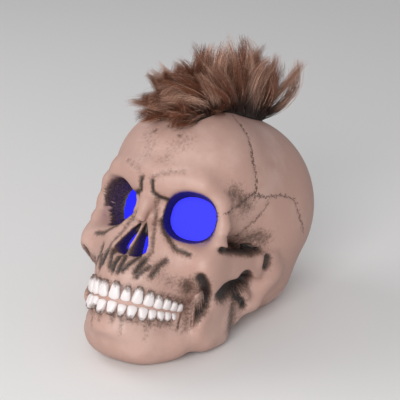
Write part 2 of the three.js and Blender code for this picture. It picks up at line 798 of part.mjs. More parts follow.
function noseLens() {
  const front = noseLensFront + clearance;
  return solidFrom(onHead(nosePlate(noseOutline(noseLensLip, noseWindowTopShare), front, front + lensThick)));
}

// Turns a piece made along +Z so that it points along a direction from a place on the head
function aimed(geometry, place, direction) {
  const turn = new THREE.Quaternion().setFromUnitVectors(new THREE.Vector3(0, 0, 1), direction);
  const matrix = new THREE.Matrix4().compose(place, turn, new THREE.Vector3(1, 1, 1));
  return solidFrom(onHead(geometry.clone().applyMatrix4(matrix)));
}

// Lamp holders: a flange behind the lens, a funnel, and a neck that grips the lamp
const neckHole = lampDiameter / 2 + clearance / 2;
const neckOuter = neckHole + holderWall;

function holderGeometry(width, depth) {
  const rim = width / 2;
  const step = holderWall;
  return turnedPiece(
    [
      [rim - step - holderFlange, 0],
      [rim, 0],
      [rim, holderFlange],
      [rim - step / 2, holderFlange],
      [neckOuter, depth],
      [neckOuter, depth + holderNeck],
      [neckHole, depth + holderNeck],
      [neckHole, depth - step / 2],
      [rim - step - holderFlange, 0],
    ],
    14,
  );
}

// A lamp, its dome towards -Z and the back of its flange at the origin
function lampGeometry() {
  const r = lampDiameter / 2;
  const front = -lampLength;
  const turns = [0, 1, 2, 3].map((step) => (step * Math.PI) / 6);
  const dome = turns.map((turn) => [r * Math.sin(turn), front + r - r * Math.cos(turn)]);
  return turnedPiece(
    [...dome, [r, -lampFlangeThick], [r + lampFlange, -lampFlangeThick], [r + lampFlange, 0], [0, 0]],
    10,
  );
}

// Where each lamp stands: the holder's front and the direction into the head
const socketInward = (side) => socketPoint(side, 0, 1, 0).sub(socketPoint(side, 0, 0, 0));
const socketAxisPoint = (side, depth) => socketPoint(side, 0, depth, 0);
const noseHolderUpShare = -0.23;
const holderWidth = 2 * (socketSize(socketDepth).up + lensLip - clearance);
const stations = {
  left: {
    place: socketAxisPoint(1, flangeFront + clearance),
    inward: socketInward(1),
    width: holderWidth,
    depth: holderDepth,
  },
  right: {
    place: socketAxisPoint(-1, flangeFront + clearance),
    inward: socketInward(-1),
    width: holderWidth,
    depth: holderDepth,
  },
  nose: {
    place: new THREE.Vector3(
      0,
      noseFrameBack + clearance,
      noseCentreShares[2] * headHeight + noseHolderUpShare * noseHeight,
    ),
    inward: new THREE.Vector3(0, 1, 0),
    width: noseHolderWidth,
    depth: noseHolderDepth,
  },
};

const lampHolder = ({ place, inward, width, depth }) => aimed(holderGeometry(width, depth), place, inward);

const lampBack = ({ place, inward, depth }) =>
  place.clone().addScaledVector(inward, depth + holderNeck + clearance + lampFlangeThick);
const lamp = (station) => aimed(lampGeometry(), lampBack(station), station.inward);

// Base plate: a disc with the cell box moulded on its inner side and the door's recess below
const knobSlotX = knobLength + switchTravel + 2 * clearance;
const knobSlotY = knobWidth + 2 * clearance;
const postX = boardLength / 2 - postDiameter * 0.75;
const postPlaces = [-postX, postX].map((x) => [x, switchY]);
const boardScrewRadius = postDiameter / 5;

const tongueReach = doorX / 2 + tongueWidth;
const cellY = (i) => boxFront + boxWall + cellGap + cellDiameter / 2 + i * (cellDiameter + cellGap);
const tabHeight = 3;
const tabWidth = 3;
const contactX = boxInnerX / 2 - contactThick / 2;

const tabPlaces = [
  [contactX, cellY(0)],
  [-contactX, cellY(cellCount - 1)],
];

function basePlate() {
  const disc = solidFrom(bar(plateRadius, plateLift, plateTop, 0, baseY, 48));
  const boxBack = boxFront + boxOuterY;
  const cellBox = solidFrom(
    boxBetween([-boxOuterX / 2, boxFront, recessTop], [boxOuterX / 2, boxBack, boxTop]),
  );
  const cellRoom = solidFrom(
    boxBetween([-boxInnerX / 2, boxFront + boxWall, 0], [boxInnerX / 2, boxBack - boxWall, boxTop - boxWall]),
  );
  const recess = solidFrom(
    boxBetween([-recessX / 2, recessFront, 0], [recessX / 2, recessFront + recessY, recessTop]),
  );
  const grooveReach = tongueReach + clearance;
  const groove = solidFrom(
    boxBetween(
      [-grooveReach, recessFront, tongueBottom - clearance / 2],
      [grooveReach, recessFront + recessY, tongueBottom + tongueThick + clearance / 2],
    ),
  );
  const slot = solidFrom(box(knobSlotX, knobSlotY, plateTop * 2 + overrun, 0, switchY, 0));
  const dish = solidFrom(
    box(knobSlotX + overrun * 2, knobSlotY + overrun, plateThick / 3 + plateLift, 0, switchY, plateLift),
  );
  const posts = postPlaces.map(([x, y]) =>
    solidFrom(bar(postDiameter / 2, plateTop - clearance, boardBottom - clearance, x, y, 14)),
  );
  const postHoles = postPlaces.map(([x, y]) =>
    solidFrom(bar(boardScrewRadius + clearance / 3, plateTop, boardBottom + overrun, x, y, 8)),
  );
  const shanks = screwPlaces.map(([x, y]) =>
    solidFrom(bar(screwDiameter / 2 + clearance / 2, 0, plateTop + overrun, x, y, 12)),
  );
  const headRoom = plateLift + screwHeadThick + clearance;
  const heads = screwPlaces.map(([x, y]) =>
    solidFrom(bar(screwHeadDiameter / 2 + clearance, 0, headRoom, x, y, 12)),
  );
  const tabSlots = tabPlaces.map(([x, y]) => {
    const slotX = contactThick + 2 * clearance;
    return solidFrom(box(slotX, tabWidth + 2 * clearance, boxWall * 4, x, y, boxTop));
  });
  const moulded = joinAll([disc, cellBox, ...posts]);
  const holes = [...postHoles, ...shanks, ...heads, ...tabSlots];
  return cutAll(moulded, [recess, groove, cellRoom, slot, dish, ...holes]);
}

// Screw standing head down: a thin head and a shank that ends in a point
function screwGeometry(headRadius, headThick, shankRadius, length, sides) {
  return turnedPiece(
    [
      [0, 0],
      [headRadius, 0],
      [headRadius, headThick],
      [shankRadius, headThick],
      [shankRadius, length - shankRadius * 2],
      [0, length],
    ],
    sides,
  );
}

const baseScrewLength = collarHeight + bossHeight - overrun * 2 - plateLift;

function baseScrew([x, y]) {
  const screw = screwGeometry(screwHeadDiameter / 2, screwHeadThick, screwDiameter / 2, baseScrewLength, 8);
  return solidFrom(screw.translate(x, y, plateLift));
}

// Battery door: a panel with a tongue along each side and grip ribs underneath
const gripCount = 4;

function batteryDoor() {
  const top = doorBottom + doorThick;
  const panel = boxBetween([-doorX / 2, doorFront, doorBottom], [doorX / 2, doorFront + doorY, top]);
  const tongues = boxBetween(
    [-tongueReach, doorFront, tongueBottom],
    [tongueReach, doorFront + doorY, tongueBottom + tongueThick],
  );
  const ribGap = doorY / 16;
  const ribs = Array.from({ length: gripCount }, (_, i) => {
    const y = doorFront + doorY - ribGap * (i * 1.5 + 2);
    return box(doorX / 3, ribGap * 0.6, gripRib * 2, 0, y, doorBottom);
  });
  return joinAll([panel, tongues, ...ribs].map(solidFrom));
}

// Cells lie along X, every other one turned round
function cell(i) {
  const heading = i % 2 ? -1 : 1;
  const r = cellDiameter / 2;
  const tip = cellTipDiameter / 2;
  const bodyLength = cellLength - cellTipLength;
  const round = turnedPiece(
    [
      [0, 0],
      [r - cellTipLength, 0],
      [r, cellTipLength],
      [r, bodyLength - cellTipLength],
      [r - cellTipLength, bodyLength],
      [tip, bodyLength],
      [tip, cellLength],
      [0, cellLength],
    ],
    12,
  );
  const tipX = boxInnerX / 2 - contactThick - clearance;
  const lying = round.rotateY(Math.PI / 2).translate(tipX - cellLength, 0, 0);
  return solidFrom(lying.rotateZ(heading > 0 ? 0 : Math.PI).translate(0, cellY(i), cellAxisZ));
}

// A wire along a list of points, with a plain polygon section
function wireAlong(points, diameter, steps, sides) {
  const section = Array.from({ length: sides }, (_, i) => {
    const turn = (2 * Math.PI * i) / sides;
    return new THREE.Vector2((diameter / 2) * Math.cos(turn), (diameter / 2) * Math.sin(turn));
  });
  const path = new THREE.CatmullRomCurve3(points, false, 'centripetal');
  return new THREE.ExtrudeGeometry(new THREE.Shape(section), {
    steps,
    extrudePath: path,
    bevelEnabled: false,
  });
}

// A contact plate at one end of the box, over one cell or two, with coils towards the flat ends
const coilStepCount = 6;

function contact(side, cells, withTab) {
  const width = cellDiameter * 0.7;
  const low = cellY(cells[0]) - width / 2;
  const high = cellY(cells[cells.length - 1]) + width / 2;
  const x = side * contactX;
  const half = contactThick / 2 - clearance / 10;
  const plate = boxBetween([x - half, low, cellAxisZ - width / 2], [x + half, high, cellAxisZ + width / 2]);
  const parts = [solidFrom(plate)];
  if (withTab) {
    const y = cellY(cells[0]);
    const low = [x - half, y - tabWidth / 2, cellAxisZ];
    const high = [x + half, y + tabWidth / 2, boxTop + tabHeight];
    parts.push(solidFrom(boxBetween(low, high)));
  }
  cells
    .filter((i) => (i % 2 ? 1 : -1) === side)
    .forEach((i) => {
      const reach = boxInnerX - contactThick * 2 - cellLength - clearance * 2;
      const count = springTurnCount * coilStepCount;
      const coil = Array.from({ length: count + 1 }, (_, k) => {
        const turn = (2 * Math.PI * k) / coilStepCount;
        const share = k / count;
        const r = (cellDiameter / 3) * (1 - share / 3);
        const out = half + (reach - springWire) * share;
        const up = cellAxisZ + r * Math.sin(turn);
        return new THREE.Vector3(x - side * out, cellY(i) + r * Math.cos(turn), up);
      });
      parts.push(solidFrom(wireAlong(coil, springWire, count, 4)));
    });
  return joinAll(parts);
}

// Slide switch: a body with a pocket for the knob, and the knob that reaches through the plate
const switchBottom = plateTop + clearance;

function switchBody() {
  const body = solidFrom(
    box(switchLength, switchWidth, switchHeight, 0, switchY, switchBottom + switchHeight / 2),
  );
  const pocket = solidFrom(box(knobSlotX, knobSlotY, knobPocket * 2, 0, switchY, switchBottom));
  return body.subtract(pocket);
}

const knobRestX = -switchTravel / 2;

function switchKnob() {
  const top = switchBottom + knobPocket - clearance;
  const bottom = plateLift + clearance;
  const shape = boxBetween(
    [knobRestX - knobLength / 2, switchY - knobWidth / 2, bottom],
    [knobRestX + knobLength / 2, switchY + knobWidth / 2, top],
  );
  return solidFrom(shape);
}

// Circuit board on the base plate's posts, with its chip blob and resistors
function circuitBoard() {
  const board = solidFrom(box(boardLength, boardWidth, boardThick, 0, switchY, boardBottom + boardThick / 2));
  const holes = postPlaces.map(([x, y]) =>
    solidFrom(bar(boardScrewRadius + clearance / 3, boardBottom - overrun, boardTop + overrun, x, y, 8)),
  );
  return cutAll(board, holes);
}

function boardScrew([x, y]) {
  const length = switchHeight + boardThick - clearance;
  const screw = screwGeometry(postDiameter * 0.42, boardThick / 2, boardScrewRadius, length, 8);
  return solidFrom(screw.rotateX(Math.PI).translate(x, y, boardTop + clearance + boardThick / 2));
}

function chip() {
  const r = chipDiameter / 2;
  return solidFrom(
    turnedPiece(
      [
        [0, 0],
        [r, 0],
        [r * 0.9, chipHeight * 0.5],
        [r * 0.6, chipHeight * 0.85],
        [0, chipHeight],
      ],
      12,
    ).translate(0, switchY, boardTop + clearance),
  );
}

const resistorXs = [-0.23, 0.15, 0.24].map((share) => share * boardLength);

function resistor(i) {
  const r = resistorDiameter / 2;
  const waist = resistorLength * 0.28;
  const half = resistorLength / 2;
  const body = turnedPiece(
    [
      [0, -half],
      [r * 0.8, -half],
      [r, -waist],
      [r * 0.8, 0],
      [r, waist],
      [r * 0.8, half],
      [0, half],
    ],
    8,
  );
  return solidFrom(body.rotateX(Math.PI / 2).translate(resistorXs[i], switchY, boardTop + clearance + r));
}

// Leads: two from the cell box to the board, and one from the board to each lamp
const leadStepCount = 12;
const leadSideCount = 6;
const leadLift = 12;

const joints = {
  side: boardLength * 0.32,
  nose: boardLength * 0.14,
  ahead: boardWidth * 0.3,
};

function lampLead(station, x) {
  const start = new THREE.Vector3(x, switchY - joints.ahead, boardTop + clearance);
  const back = lampBack(station).clone().addScaledVector(station.inward, clearance).applyMatrix4(headPlace);
  const inward = station.inward.clone().transformDirection(headPlace);
  const bend = back.clone().addScaledVector(inward, leadLift);
  const rise = start.clone().add(new THREE.Vector3(0, 0, leadLift));
  const middle = rise.clone().lerp(bend, 0.5).add(new THREE.Vector3(0, leadLift / 2, 0));
  return solidFrom(wireAlong([start, rise, middle, bend, back], leadDiameter, leadStepCount, leadSideCount));
}

function cellLead(side, cellIndex) {
  const start = new THREE.Vector3(side * contactX, cellY(cellIndex), boxTop + tabHeight + clearance);
  const end = new THREE.Vector3(side * joints.side, switchY + joints.ahead, boardTop + clearance);
  const rise = start.clone().add(new THREE.Vector3(0, 0, leadLift / 3));
  const drop = end.clone().add(new THREE.Vector3(0, 0, leadLift));
  return solidFrom(wireAlong([start, rise, drop, end], leadDiameter, leadStepCount, leadSideCount));
}

// Fur strip: along s from the forehead to the back of the crown, across t from side to side
const furStationCount = 14;
const furAcrossCount = 6;

function furLine(s, t) {
  const front = radians(furFrontDegrees);
  const back = radians(furBackDegrees);
  const lean = front - (front + back) * s;
  const ends = 1 - (2 * s - 1) ** 6;
  const aside = Math.atan2((furWidth / 2) * t * (0.45 + 0.55 * ends), headHeight / 2);
  const beside = Math.cos(aside);
  return new THREE.Vector3(Math.sin(aside), -Math.sin(lean) * beside, Math.cos(lean) * beside);
}

function furSheet(offset) {
  return Array.from({ length: furStationCount + 1 }, (_, i) =>
    Array.from({ length: furAcrossCount + 1 }, (_, k) =>
      offset(i / furStationCount, (2 * k) / furAcrossCount - 1),
    ),
  );
}

// A closed sheet between a lower and an upper grid of points
function sheetBetween(lower, upper) {
  const rows = lower.length;
  const columns = lower[0].length;
  const points = [...lower.flat(), ...upper.flat()];
  const low = (i, k) => i * columns + k;
  const high = (i, k) => rows * columns + low(i, k);
  const faces = [];
  const quad = (a, b, c, d) => faces.push([a, b, c], [a, c, d]);
  for (let i = 0; i < rows - 1; i += 1) {
    for (let k = 0; k < columns - 1; k += 1) {
      quad(high(i, k), high(i, k + 1), high(i + 1, k + 1), high(i + 1, k));
      quad(low(i, k), low(i + 1, k), low(i + 1, k + 1), low(i, k + 1));
    }
    quad(low(i, 0), high(i, 0), high(i + 1, 0), low(i + 1, 0));
    quad(low(i + 1, columns - 1), high(i + 1, columns - 1), high(i, columns - 1), low(i, columns - 1));
  }
  for (let k = 0; k < columns - 1; k += 1) {
    quad(low(0, k + 1), high(0, k + 1), high(0, k), low(0, k));
    quad(low(rows - 1, k), high(rows - 1, k), high(rows - 1, k + 1), low(rows - 1, k + 1));
  }
  return facingOut(points, faces);
}

const onCrown = (s, t, height) => {
  const line = furLine(s, t);
  return heart.clone().addScaledVector(line, outsideReach(line) + height);
};

const backingFoot = clearance * 1.5;

function furBacking() {
  const lower = furSheet((s, t) => onCrown(s, t, backingFoot));
  const upper = furSheet((s, t) => onCrown(s, t, backingFoot + backingThick));
  return solidFrom(onHead(sheetBetween(lower, upper)));
}

// The pile's crest from the front of the strip to its back, depth and height shares of the head:
// it sweeps forward over the forehead, stands up in the middle and leans back behind the crown.
const crestShares = [
  [-0.705, 0.573],
  [-0.589, 0.713],
  [-0.421, 0.893],
  [-0.147, 1.067],
  [0.137, 1.113],
  [0.347, 1.133],
];
const pileSideShare = 0.32;
const pileFootShare = 0.97;

function crestPoint(s) {
  const along = s * (crestShares.length - 1);
  const i = Math.min(Math.floor(along), crestShares.length - 2);
  const [y, z] = crestShares[i].map((share, k) => share + (crestShares[i + 1][k] - share) * (along - i));
  return new THREE.Vector3(0, y * headLength, z * headHeight);
}

function furPile() {
  const foot = backingFoot + backingThick + clearance;
  const lower = furSheet((s, t) => onCrown(s, t * pileFootShare, foot));
  const upper = furSheet((s, t) => {
    const base = onCrown(s, t * pileFootShare, foot);
    const rise = crestPoint(s).sub(onCrown(s, 0, foot)).multiplyScalar(1 - pileSideShare * t ** 4);
    return base.add(rise).add(new THREE.Vector3(pileSplay * t, 0, 0));
  });
  return solidFrom(onHead(sheetBetween(lower, upper)));
}

// Finishes
const finish = (color, roughness, metalness = 0, more = {}) =>
  new THREE.MeshStandardMaterial({ color, roughness, metalness, ...more });
const bone = finish(0xc9a793, 0.6);
const blueLens = finish(0x2b2bff, 0.35, 0, { emissive: 0x1515ff, transparent: true, opacity: 0.9 });
const whitePlastic = finish(0xe8e6e0, 0.5);
const basePlastic = finish(0x2a2826, 0.55);
const steel = finish(0xb9bcc0, 0.35, 1);
const cellJacket = finish(0x2f6b3f, 0.4);
const boardGreen = finish(0x1f6b3a, 0.5);
const chipBlack = finish(0x101012, 0.4);
const resistorTan = finish(0xc8a878, 0.6);
const knobWhite = finish(0xdad8d2, 0.45);
const redLead = finish(0xb3241c, 0.5);
const blackLead = finish(0x151515, 0.5);
const lampBlue = finish(0x5560ff, 0.2, 0, { emissive: 0x2020ff });
const furCloth = finish(0x3a2c25, 0.95);
const furBrown = finish(0x7a5440, 0.95);

const assembly = new THREE.Group();

function place(name, solid, material) {
  const mesh = new THREE.Mesh(geometryFrom(solid), material);
  mesh.name = name;
  assembly.add(mesh);
}

place('skull_shell', skullShell(), bone);
place('eye_lens_left', eyeLens(1), blueLens);
place('eye_lens_right', eyeLens(-1), blueLens);
place('nose_lens', noseLens(), blueLens);
for (const [name, station] of Object.entries(stations)) {
  place(`lamp_holder_${name}`, lampHolder(station), whitePlastic);
  place(`lamp_${name}`, lamp(station), lampBlue);
}
place('lamp_lead_left', lampLead(stations.left, joints.side), blackLead);
place('lamp_lead_right', lampLead(stations.right, -joints.side), blackLead);
place('lamp_lead_nose', lampLead(stations.nose, -joints.nose), blackLead);
place('base_plate', basePlate(), basePlastic);
screwPlaces.forEach((at, i) => place(`base_screw_${i + 1}`, baseScrew(at), steel));
place('battery_door', batteryDoor(), basePlastic);
for (let i = 0; i < cellCount; i += 1) place(`cell_${i + 1}`, cell(i), cellJacket);
place('contact_positive', contact(1, [0], true), steel);
place('contact_link_left', contact(1, [1, 2], false), steel);
place('contact_link_right', contact(-1, [0, 1], false), steel);
place('contact_negative', contact(-1, [2], true), steel);
place('cell_lead_red', cellLead(1, 0), redLead);
place('cell_lead_black', cellLead(-1, cellCount - 1), blackLead);
place('switch_body', switchBody(), steel);
place('switch_knob', switchKnob(), knobWhite);
place('circuit_board', circuitBoard(), boardGreen);
postPlaces.forEach((at, i) => place(`board_screw_${i + 1}`, boardScrew(at), steel));
place('chip', chip(), chipBlack);
resistorXs.forEach((_, i) => place(`resistor_${i + 1}`, resistor(i), resistorTan));
place('fur_backing', furBacking(), furCloth);
place('fur_pile', furPile(), furBrown);

// The origin is under the middle of the whole piece
const extent = new THREE.Box3().setFromObject(assembly);
assembly.position.y = -(extent.min.y + extent.max.y) / 2;
assembly.position.x = -(extent.min.x + extent.max.x) / 2;
const skull = new THREE.Group();
skull.add(assembly);

export default skull;
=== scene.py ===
import math

import bpy
import numpy as np
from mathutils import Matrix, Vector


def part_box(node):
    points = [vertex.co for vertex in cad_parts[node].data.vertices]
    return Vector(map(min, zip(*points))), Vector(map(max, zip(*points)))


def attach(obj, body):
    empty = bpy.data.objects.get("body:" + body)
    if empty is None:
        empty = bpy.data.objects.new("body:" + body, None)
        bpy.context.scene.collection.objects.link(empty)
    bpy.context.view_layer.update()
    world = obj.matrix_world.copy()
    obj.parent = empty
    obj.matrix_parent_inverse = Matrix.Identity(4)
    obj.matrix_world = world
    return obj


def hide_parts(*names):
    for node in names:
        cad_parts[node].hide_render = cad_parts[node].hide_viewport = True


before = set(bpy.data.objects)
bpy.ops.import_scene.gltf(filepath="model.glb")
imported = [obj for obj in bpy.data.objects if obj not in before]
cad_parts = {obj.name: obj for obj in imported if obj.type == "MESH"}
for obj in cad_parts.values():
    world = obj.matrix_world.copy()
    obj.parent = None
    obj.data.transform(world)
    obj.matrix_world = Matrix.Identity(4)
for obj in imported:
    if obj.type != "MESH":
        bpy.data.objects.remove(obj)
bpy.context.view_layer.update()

# Place of the head. Casting, teeth and fur are drawn in the head's own frame: x left, y back, z up,
# in millimetres from midway between the ears. The real piece lies tilted back on its jaw and the
# back of its head.
mm = 0.001
tilt = math.radians(25.4)
ear_height = 57
plate_centre_y = 35.91
plate_low, plate_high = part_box("base_plate")
forward = (plate_low.y + plate_high.y) / 2 / mm - plate_centre_y


def on_ground(points):
    """Head frame to the ground frame in metres: turned back about the ear axis, then raised."""
    x, y, z = np.moveaxis(np.asarray(points, float), -1, 0)
    back = y * math.cos(tilt) + z * math.sin(tilt) + forward
    up = z * math.cos(tilt) - y * math.sin(tilt) + ear_height
    return np.stack([x, back, up], -1) * mm


def in_head(points):
    """Ground frame in metres to the head frame: the same turn and move taken back."""
    x, back, up = np.moveaxis(np.asarray(points, float) / mm, -1, 0)
    back = back - forward
    up = up - ear_height
    y = back * math.cos(tilt) - up * math.sin(tilt)
    return np.stack([x, y, back * math.sin(tilt) + up * math.cos(tilt)], -1)


def put(name, data):
    """A new object in the scene."""
    thing = bpy.data.objects.new(name, data)
    bpy.context.scene.collection.objects.link(thing)
    return thing


# Camera at the photograph's angle: from the head's left front, a little above, a metre away.
# The shift puts the head where the photograph's frame has it.
view_azimuth = math.radians(31.8)
view_height = math.radians(21.3)
view_distance = 1.0
picture_side = 400
lens_mm = 115
sensor_mm = 36
aim_head = (0, -20, 10)
aim_pixel = (189.2, 229.1)
to_camera = np.array([
    math.sin(view_azimuth) * math.cos(view_height),
    -math.cos(view_azimuth) * math.cos(view_height),
    math.sin(view_height),
])
view_right = np.array([math.cos(view_azimuth), math.sin(view_azimuth), 0])
view_up = np.cross(to_camera, view_right)
aim = on_ground(aim_head)
eye = aim + to_camera * view_distance
camera = put("camera", bpy.data.cameras.new("camera"))
camera.location = eye
camera.rotation_euler = (math.pi / 2 - view_height, 0, view_azimuth)
camera.data.lens = lens_mm
camera.data.sensor_width = sensor_mm
camera.data.shift_x = (picture_side / 2 - aim_pixel[0]) / picture_side
camera.data.shift_y = (aim_pixel[1] - picture_side / 2) / picture_side
bpy.context.scene.camera = camera


# Studio: a plain pale floor, two large soft lamps and a pale room, at a level at which a colour
# renders about as it is written.
floor_side = 12
floor_colour = (0.78, 0.77, 0.76, 1)
room_colour = (0.9, 0.9, 0.92, 1)
room_level = 0.5


def new_material(name):
    """A material and its Principled shader, ready to be fed."""
    material = bpy.data.materials.new(name)
    material.use_nodes = True
    return material, material.node_tree.nodes["Principled BSDF"]


def feed(node, inputs):
    """Gives a node its inputs: another node's output is wired in, anything else is set as a value."""
    for key, entry in inputs.items():
        if isinstance(entry, bpy.types.NodeSocket):
            node.id_data.links.new(entry, node.inputs[key])
        else:
            node.inputs[key].default_value = entry
    return node


floor_mesh = bpy.data.meshes.new("floor")
half = floor_side / 2
floor_corners = [(-half, -half, 0), (half, -half, 0), (half, half, 0), (-half, half, 0)]
floor_mesh.from_pydata(floor_corners, [], [(0, 1, 2, 3)])
floor = put("floor", floor_mesh)
floor_finish, shader = new_material("pale_floor")
feed(shader, {"Base Color": floor_colour, "Roughness": 0.7})
floor_mesh.materials.append(floor_finish)

room = bpy.data.worlds.new("room")
bpy.context.scene.world = room
room.use_nodes = True
feed(room.node_tree.nodes["Background"], {"Color": room_colour, "Strength": room_level})


def soft_lamp(name, place, aim_at, side, power):
    """A square lamp that points from its place at a spot."""
    data = bpy.data.lights.new(name, "AREA")
    data.size = side
    data.energy = power
    lamp = put(name, data)
    lamp.location = place
    look = np.array(aim_at) - np.array(place)
    down = math.atan2(math.hypot(look[0], look[1]), -look[2])
    lamp.rotation_euler = (down, 0, math.atan2(-look[0], look[1]))


soft_lamp("key_lamp", place=(0.45, -1.3, 0.7), aim_at=(0, 0, 0.1), side=0.7, power=16)
soft_lamp("fill_lamp", place=(-1.2, -0.3, 1.2), aim_at=(0, 0, 0.1), side=1.0, power=7)
bpy.context.scene.view_settings.view_transform = "Standard"


# Skull casting: one hollow shell of cast vinyl with the lower jaw and the tooth rows cast on, open
# at the sockets, the nose and the base. Its sculpture runs together from soft forms, is pressed in
# at grooves and seams, and is washed with thin brown and black paint that stays in the hollows.
broad_join = 32
base_join = 18
brow_join = 14
body_join = 12
bone_join = 8
sharp_join = 6
notch_join = 4
spine_join = 3


# Forms are distances that are negative inside. Two forms that meet run together over a reach.
def join_soft(a, b, reach):
    """The smaller of two distances, less a quarter of the reach where they are equal."""
    near = np.maximum(reach - np.abs(a - b), 0) / reach
    return np.minimum(a, b) - near * near * reach / 4


def cut_soft(a, b, reach):
    """The larger of two distances, rounded over the reach: what is in a and also in b."""
    return -join_soft(-a, -b, reach)


def egg(points, centre, radii):
    """Distance to an ellipsoid: its scaled radius less one, over the slope of that radius."""
    q = (points - np.array(centre)) / np.array(radii)
    near = np.sqrt((q * q).sum(-1))
    slope = np.sqrt(((q / np.array(radii)) ** 2).sum(-1)) + 1e-9
    return near * (near - 1) / slope


def bone(points, a, b):
    """Distance to a bar with round ends whose radius runs evenly from a's to b's."""
    a, b = np.array(a, float), np.array(b, float)
    run = b[:3] - a[:3]
    share = np.clip(((points - a[:3]) @ run) / (run @ run), 0, 1)
    off = points - a[:3] - share[..., None] * run
    return np.sqrt((off * off).sum(-1)) - (a[3] + (b[3] - a[3]) * share)


def ridge(points, beads, reach=sharp_join):
    """Bars from bead to bead, run together over a reach."""
    out = bone(points, beads[0], beads[1])
    for a, b in zip(beads[1:-1], beads[2:]):
        out = join_soft(out, bone(points, a, b), reach)
    return out


def turned(points, centre, yaw, pitch=0):
    """Points measured from a centre in a frame turned about z by yaw, then about x by pitch."""
    x, y, z = np.moveaxis(points - np.array(centre, float), -1, 0)
    c, s = math.cos(math.radians(yaw)), math.sin(math.radians(yaw))
    x, y = x * c + y * s, y * c - x * s
    c, s = math.cos(math.radians(pitch)), math.sin(math.radians(pitch))
    return np.stack([x, y * c + z * s, z * c - y * s], -1)


def slab(points, centre, radii, squareness, yaw=0, pitch=0):
    """A squared egg: the sum of the scaled sides to a power, less one, times the least radius."""
    q = np.abs(turned(points, centre, yaw, pitch)) / np.array(radii, float)
    return ((q ** squareness).sum(-1) ** (1 / squareness) - 1) * min(radii)


def braincase(p):
    """Back, forehead and underside run together, knobs behind the ears, temples hollowed."""
    back = egg(p, (0, 29, 37), (72.5, 70, 74))
    forehead = egg(p, (0, -36, 50), (60, 56, 56))
    under = egg(p, (0, 34, -12), (60, 62, 39))
    ear_knob = ridge(p, [(57, 13, -8, 12), (51, 8, -33, 8), (46, -6, -44, 8)])
    temple = egg(p, (79, -38, 16), (20, 26, 28))
    d = join_soft(back, forehead, broad_join)
    d = join_soft(d, under, base_join)
    d = join_soft(d, ear_knob, bone_join)
    return cut_soft(d, -temple, body_join)


def face(p, d):
    """Cheeks, brow, socket rims, cheekbones, arches, nose bones and upper jaw added to the head."""
    brow = [(8, -87, 37, 5), (22, -84, 43, 5), (37, -79, 42, 5), (48.5, -69, 32, 5)]
    outer_rim = [(48.5, -69, 32, 5), (53, -66, 17, 4.5), (53, -67, 2, 5), (48, -70, -11, 8)]
    under_eye = [(47, -71, -15, 9), (36, -78, -12, 7), (24, -84, -8, 5.5), (14, -84, 2, 4.5)]
    beside_nose = [(9, -80, 14, 3.5), (7, -80, 26, 3.5)]
    nose_bones = [(0, -85, 32, 5), (0, -91, 22, 4.3), (0, -95, 9, 3.8)]
    cheekbone = slab(p, (46.5, -66, -18), (9, 13, 14), 2.3, -20)
    cheek_arch = slab(p, (57.5, -36, -9), (5, 36, 10), 2.6, -5, 8)
    arch_root = ridge(p, [(59, -12, -2, 6), (61, 6, 3, 5)])
    d = join_soft(d, egg(p, (0, -58, -14), (46, 36, 40)), body_join)
    d = join_soft(d, ridge(p, brow), brow_join)
    d = join_soft(d, egg(p, (0, -86, 42), (16, 11, 11)), body_join)
    d = join_soft(d, ridge(p, outer_rim), bone_join)
    d = join_soft(d, ridge(p, under_eye + beside_nose), bone_join)
    d = join_soft(d, cheekbone, bone_join)
    d = join_soft(d, cheek_arch, bone_join)
    d = join_soft(d, arch_root, sharp_join)
    d = join_soft(d, ridge(p, nose_bones), sharp_join)
    return join_soft(d, egg(p, (0, -72, -28), (36, 37, 24)), body_join)


arch_half_width = 31.5
arch_depth = 46.5
arch_centre_y = -66
arch_back_y = -42
arch_squareness = 2.2
band_reach = 14
upper_band_z = -42
lower_band_z = -66
lower_inset = 0.97


def tooth_band(p, middle, inset=1.0):
    """The jaw's rounded band under a tooth row: a squared half oval about a middle height."""
    a, b = arch_half_width * inset, arch_depth * inset
    sides = np.abs(p[..., 0] / a) ** arch_squareness
    sides = sides + np.abs((p[..., 1] - arch_centre_y) / b) ** arch_squareness
    outline = (sides ** (1 / arch_squareness) - 1) * a
    d = cut_soft(outline, np.abs(p[..., 2] - middle) - band_reach, bone_join)
    return cut_soft(d, p[..., 1] - arch_back_y, sharp_join)


def jaw(p, d):
    """Lower jaw: body and chin, the branch up to the ear with its notch, and the underside."""
    body = [(0, -83, -79, 13.5), (16, -78, -78, 12.5), (30, -62, -72, 12)]
    side = [(40, -42, -64, 10), (44, -24, -58, 9), (46, -13, -52, 8)]
    hinge = [(49, -24, -50, 7), (54, -14, -27, 6), (55, -9, -14, 6)]
    branch = slab(p, (48.5, -37, -43), (6, 18, 28), 2.8, 4, 14)
    corner = slab(p, (44, -48, -60), (6, 18, 9), 2.4, 20, -20)
    branch = join_soft(branch, corner, bone_join)
    branch = join_soft(branch, ridge(p, hinge), bone_join)
    notch = egg(turned(p, (59, -24, -26), 0, 20), (0, 0, 0), (7, 26, 6))
    d = join_soft(d, ridge(p, body + side, body_join), bone_join)
    d = join_soft(d, egg(p, (0, -64, -76), (36, 38, 22)), bone_join)
    d = join_soft(d, branch, sharp_join)
    d = join_soft(d, tooth_band(p, lower_band_z, lower_inset), sharp_join)
    d = cut_soft(d, -notch, notch_join)
    return join_soft(d, egg(p, (0, -26, -48), (37, 50, 36)), bone_join)


def fade(values, none, full):
    """Runs smoothly from 0 where a value is none to 1 where it is full."""
    share = np.clip((values - none) / (full - none), 0, 1)
    return share * share * (3 - 2 * share)


def mirrored(points):
    """The same points with x made positive: both sides of the head are alike."""
    q = np.array(points, float)
    q[..., 0] = np.abs(q[..., 0])
    return q


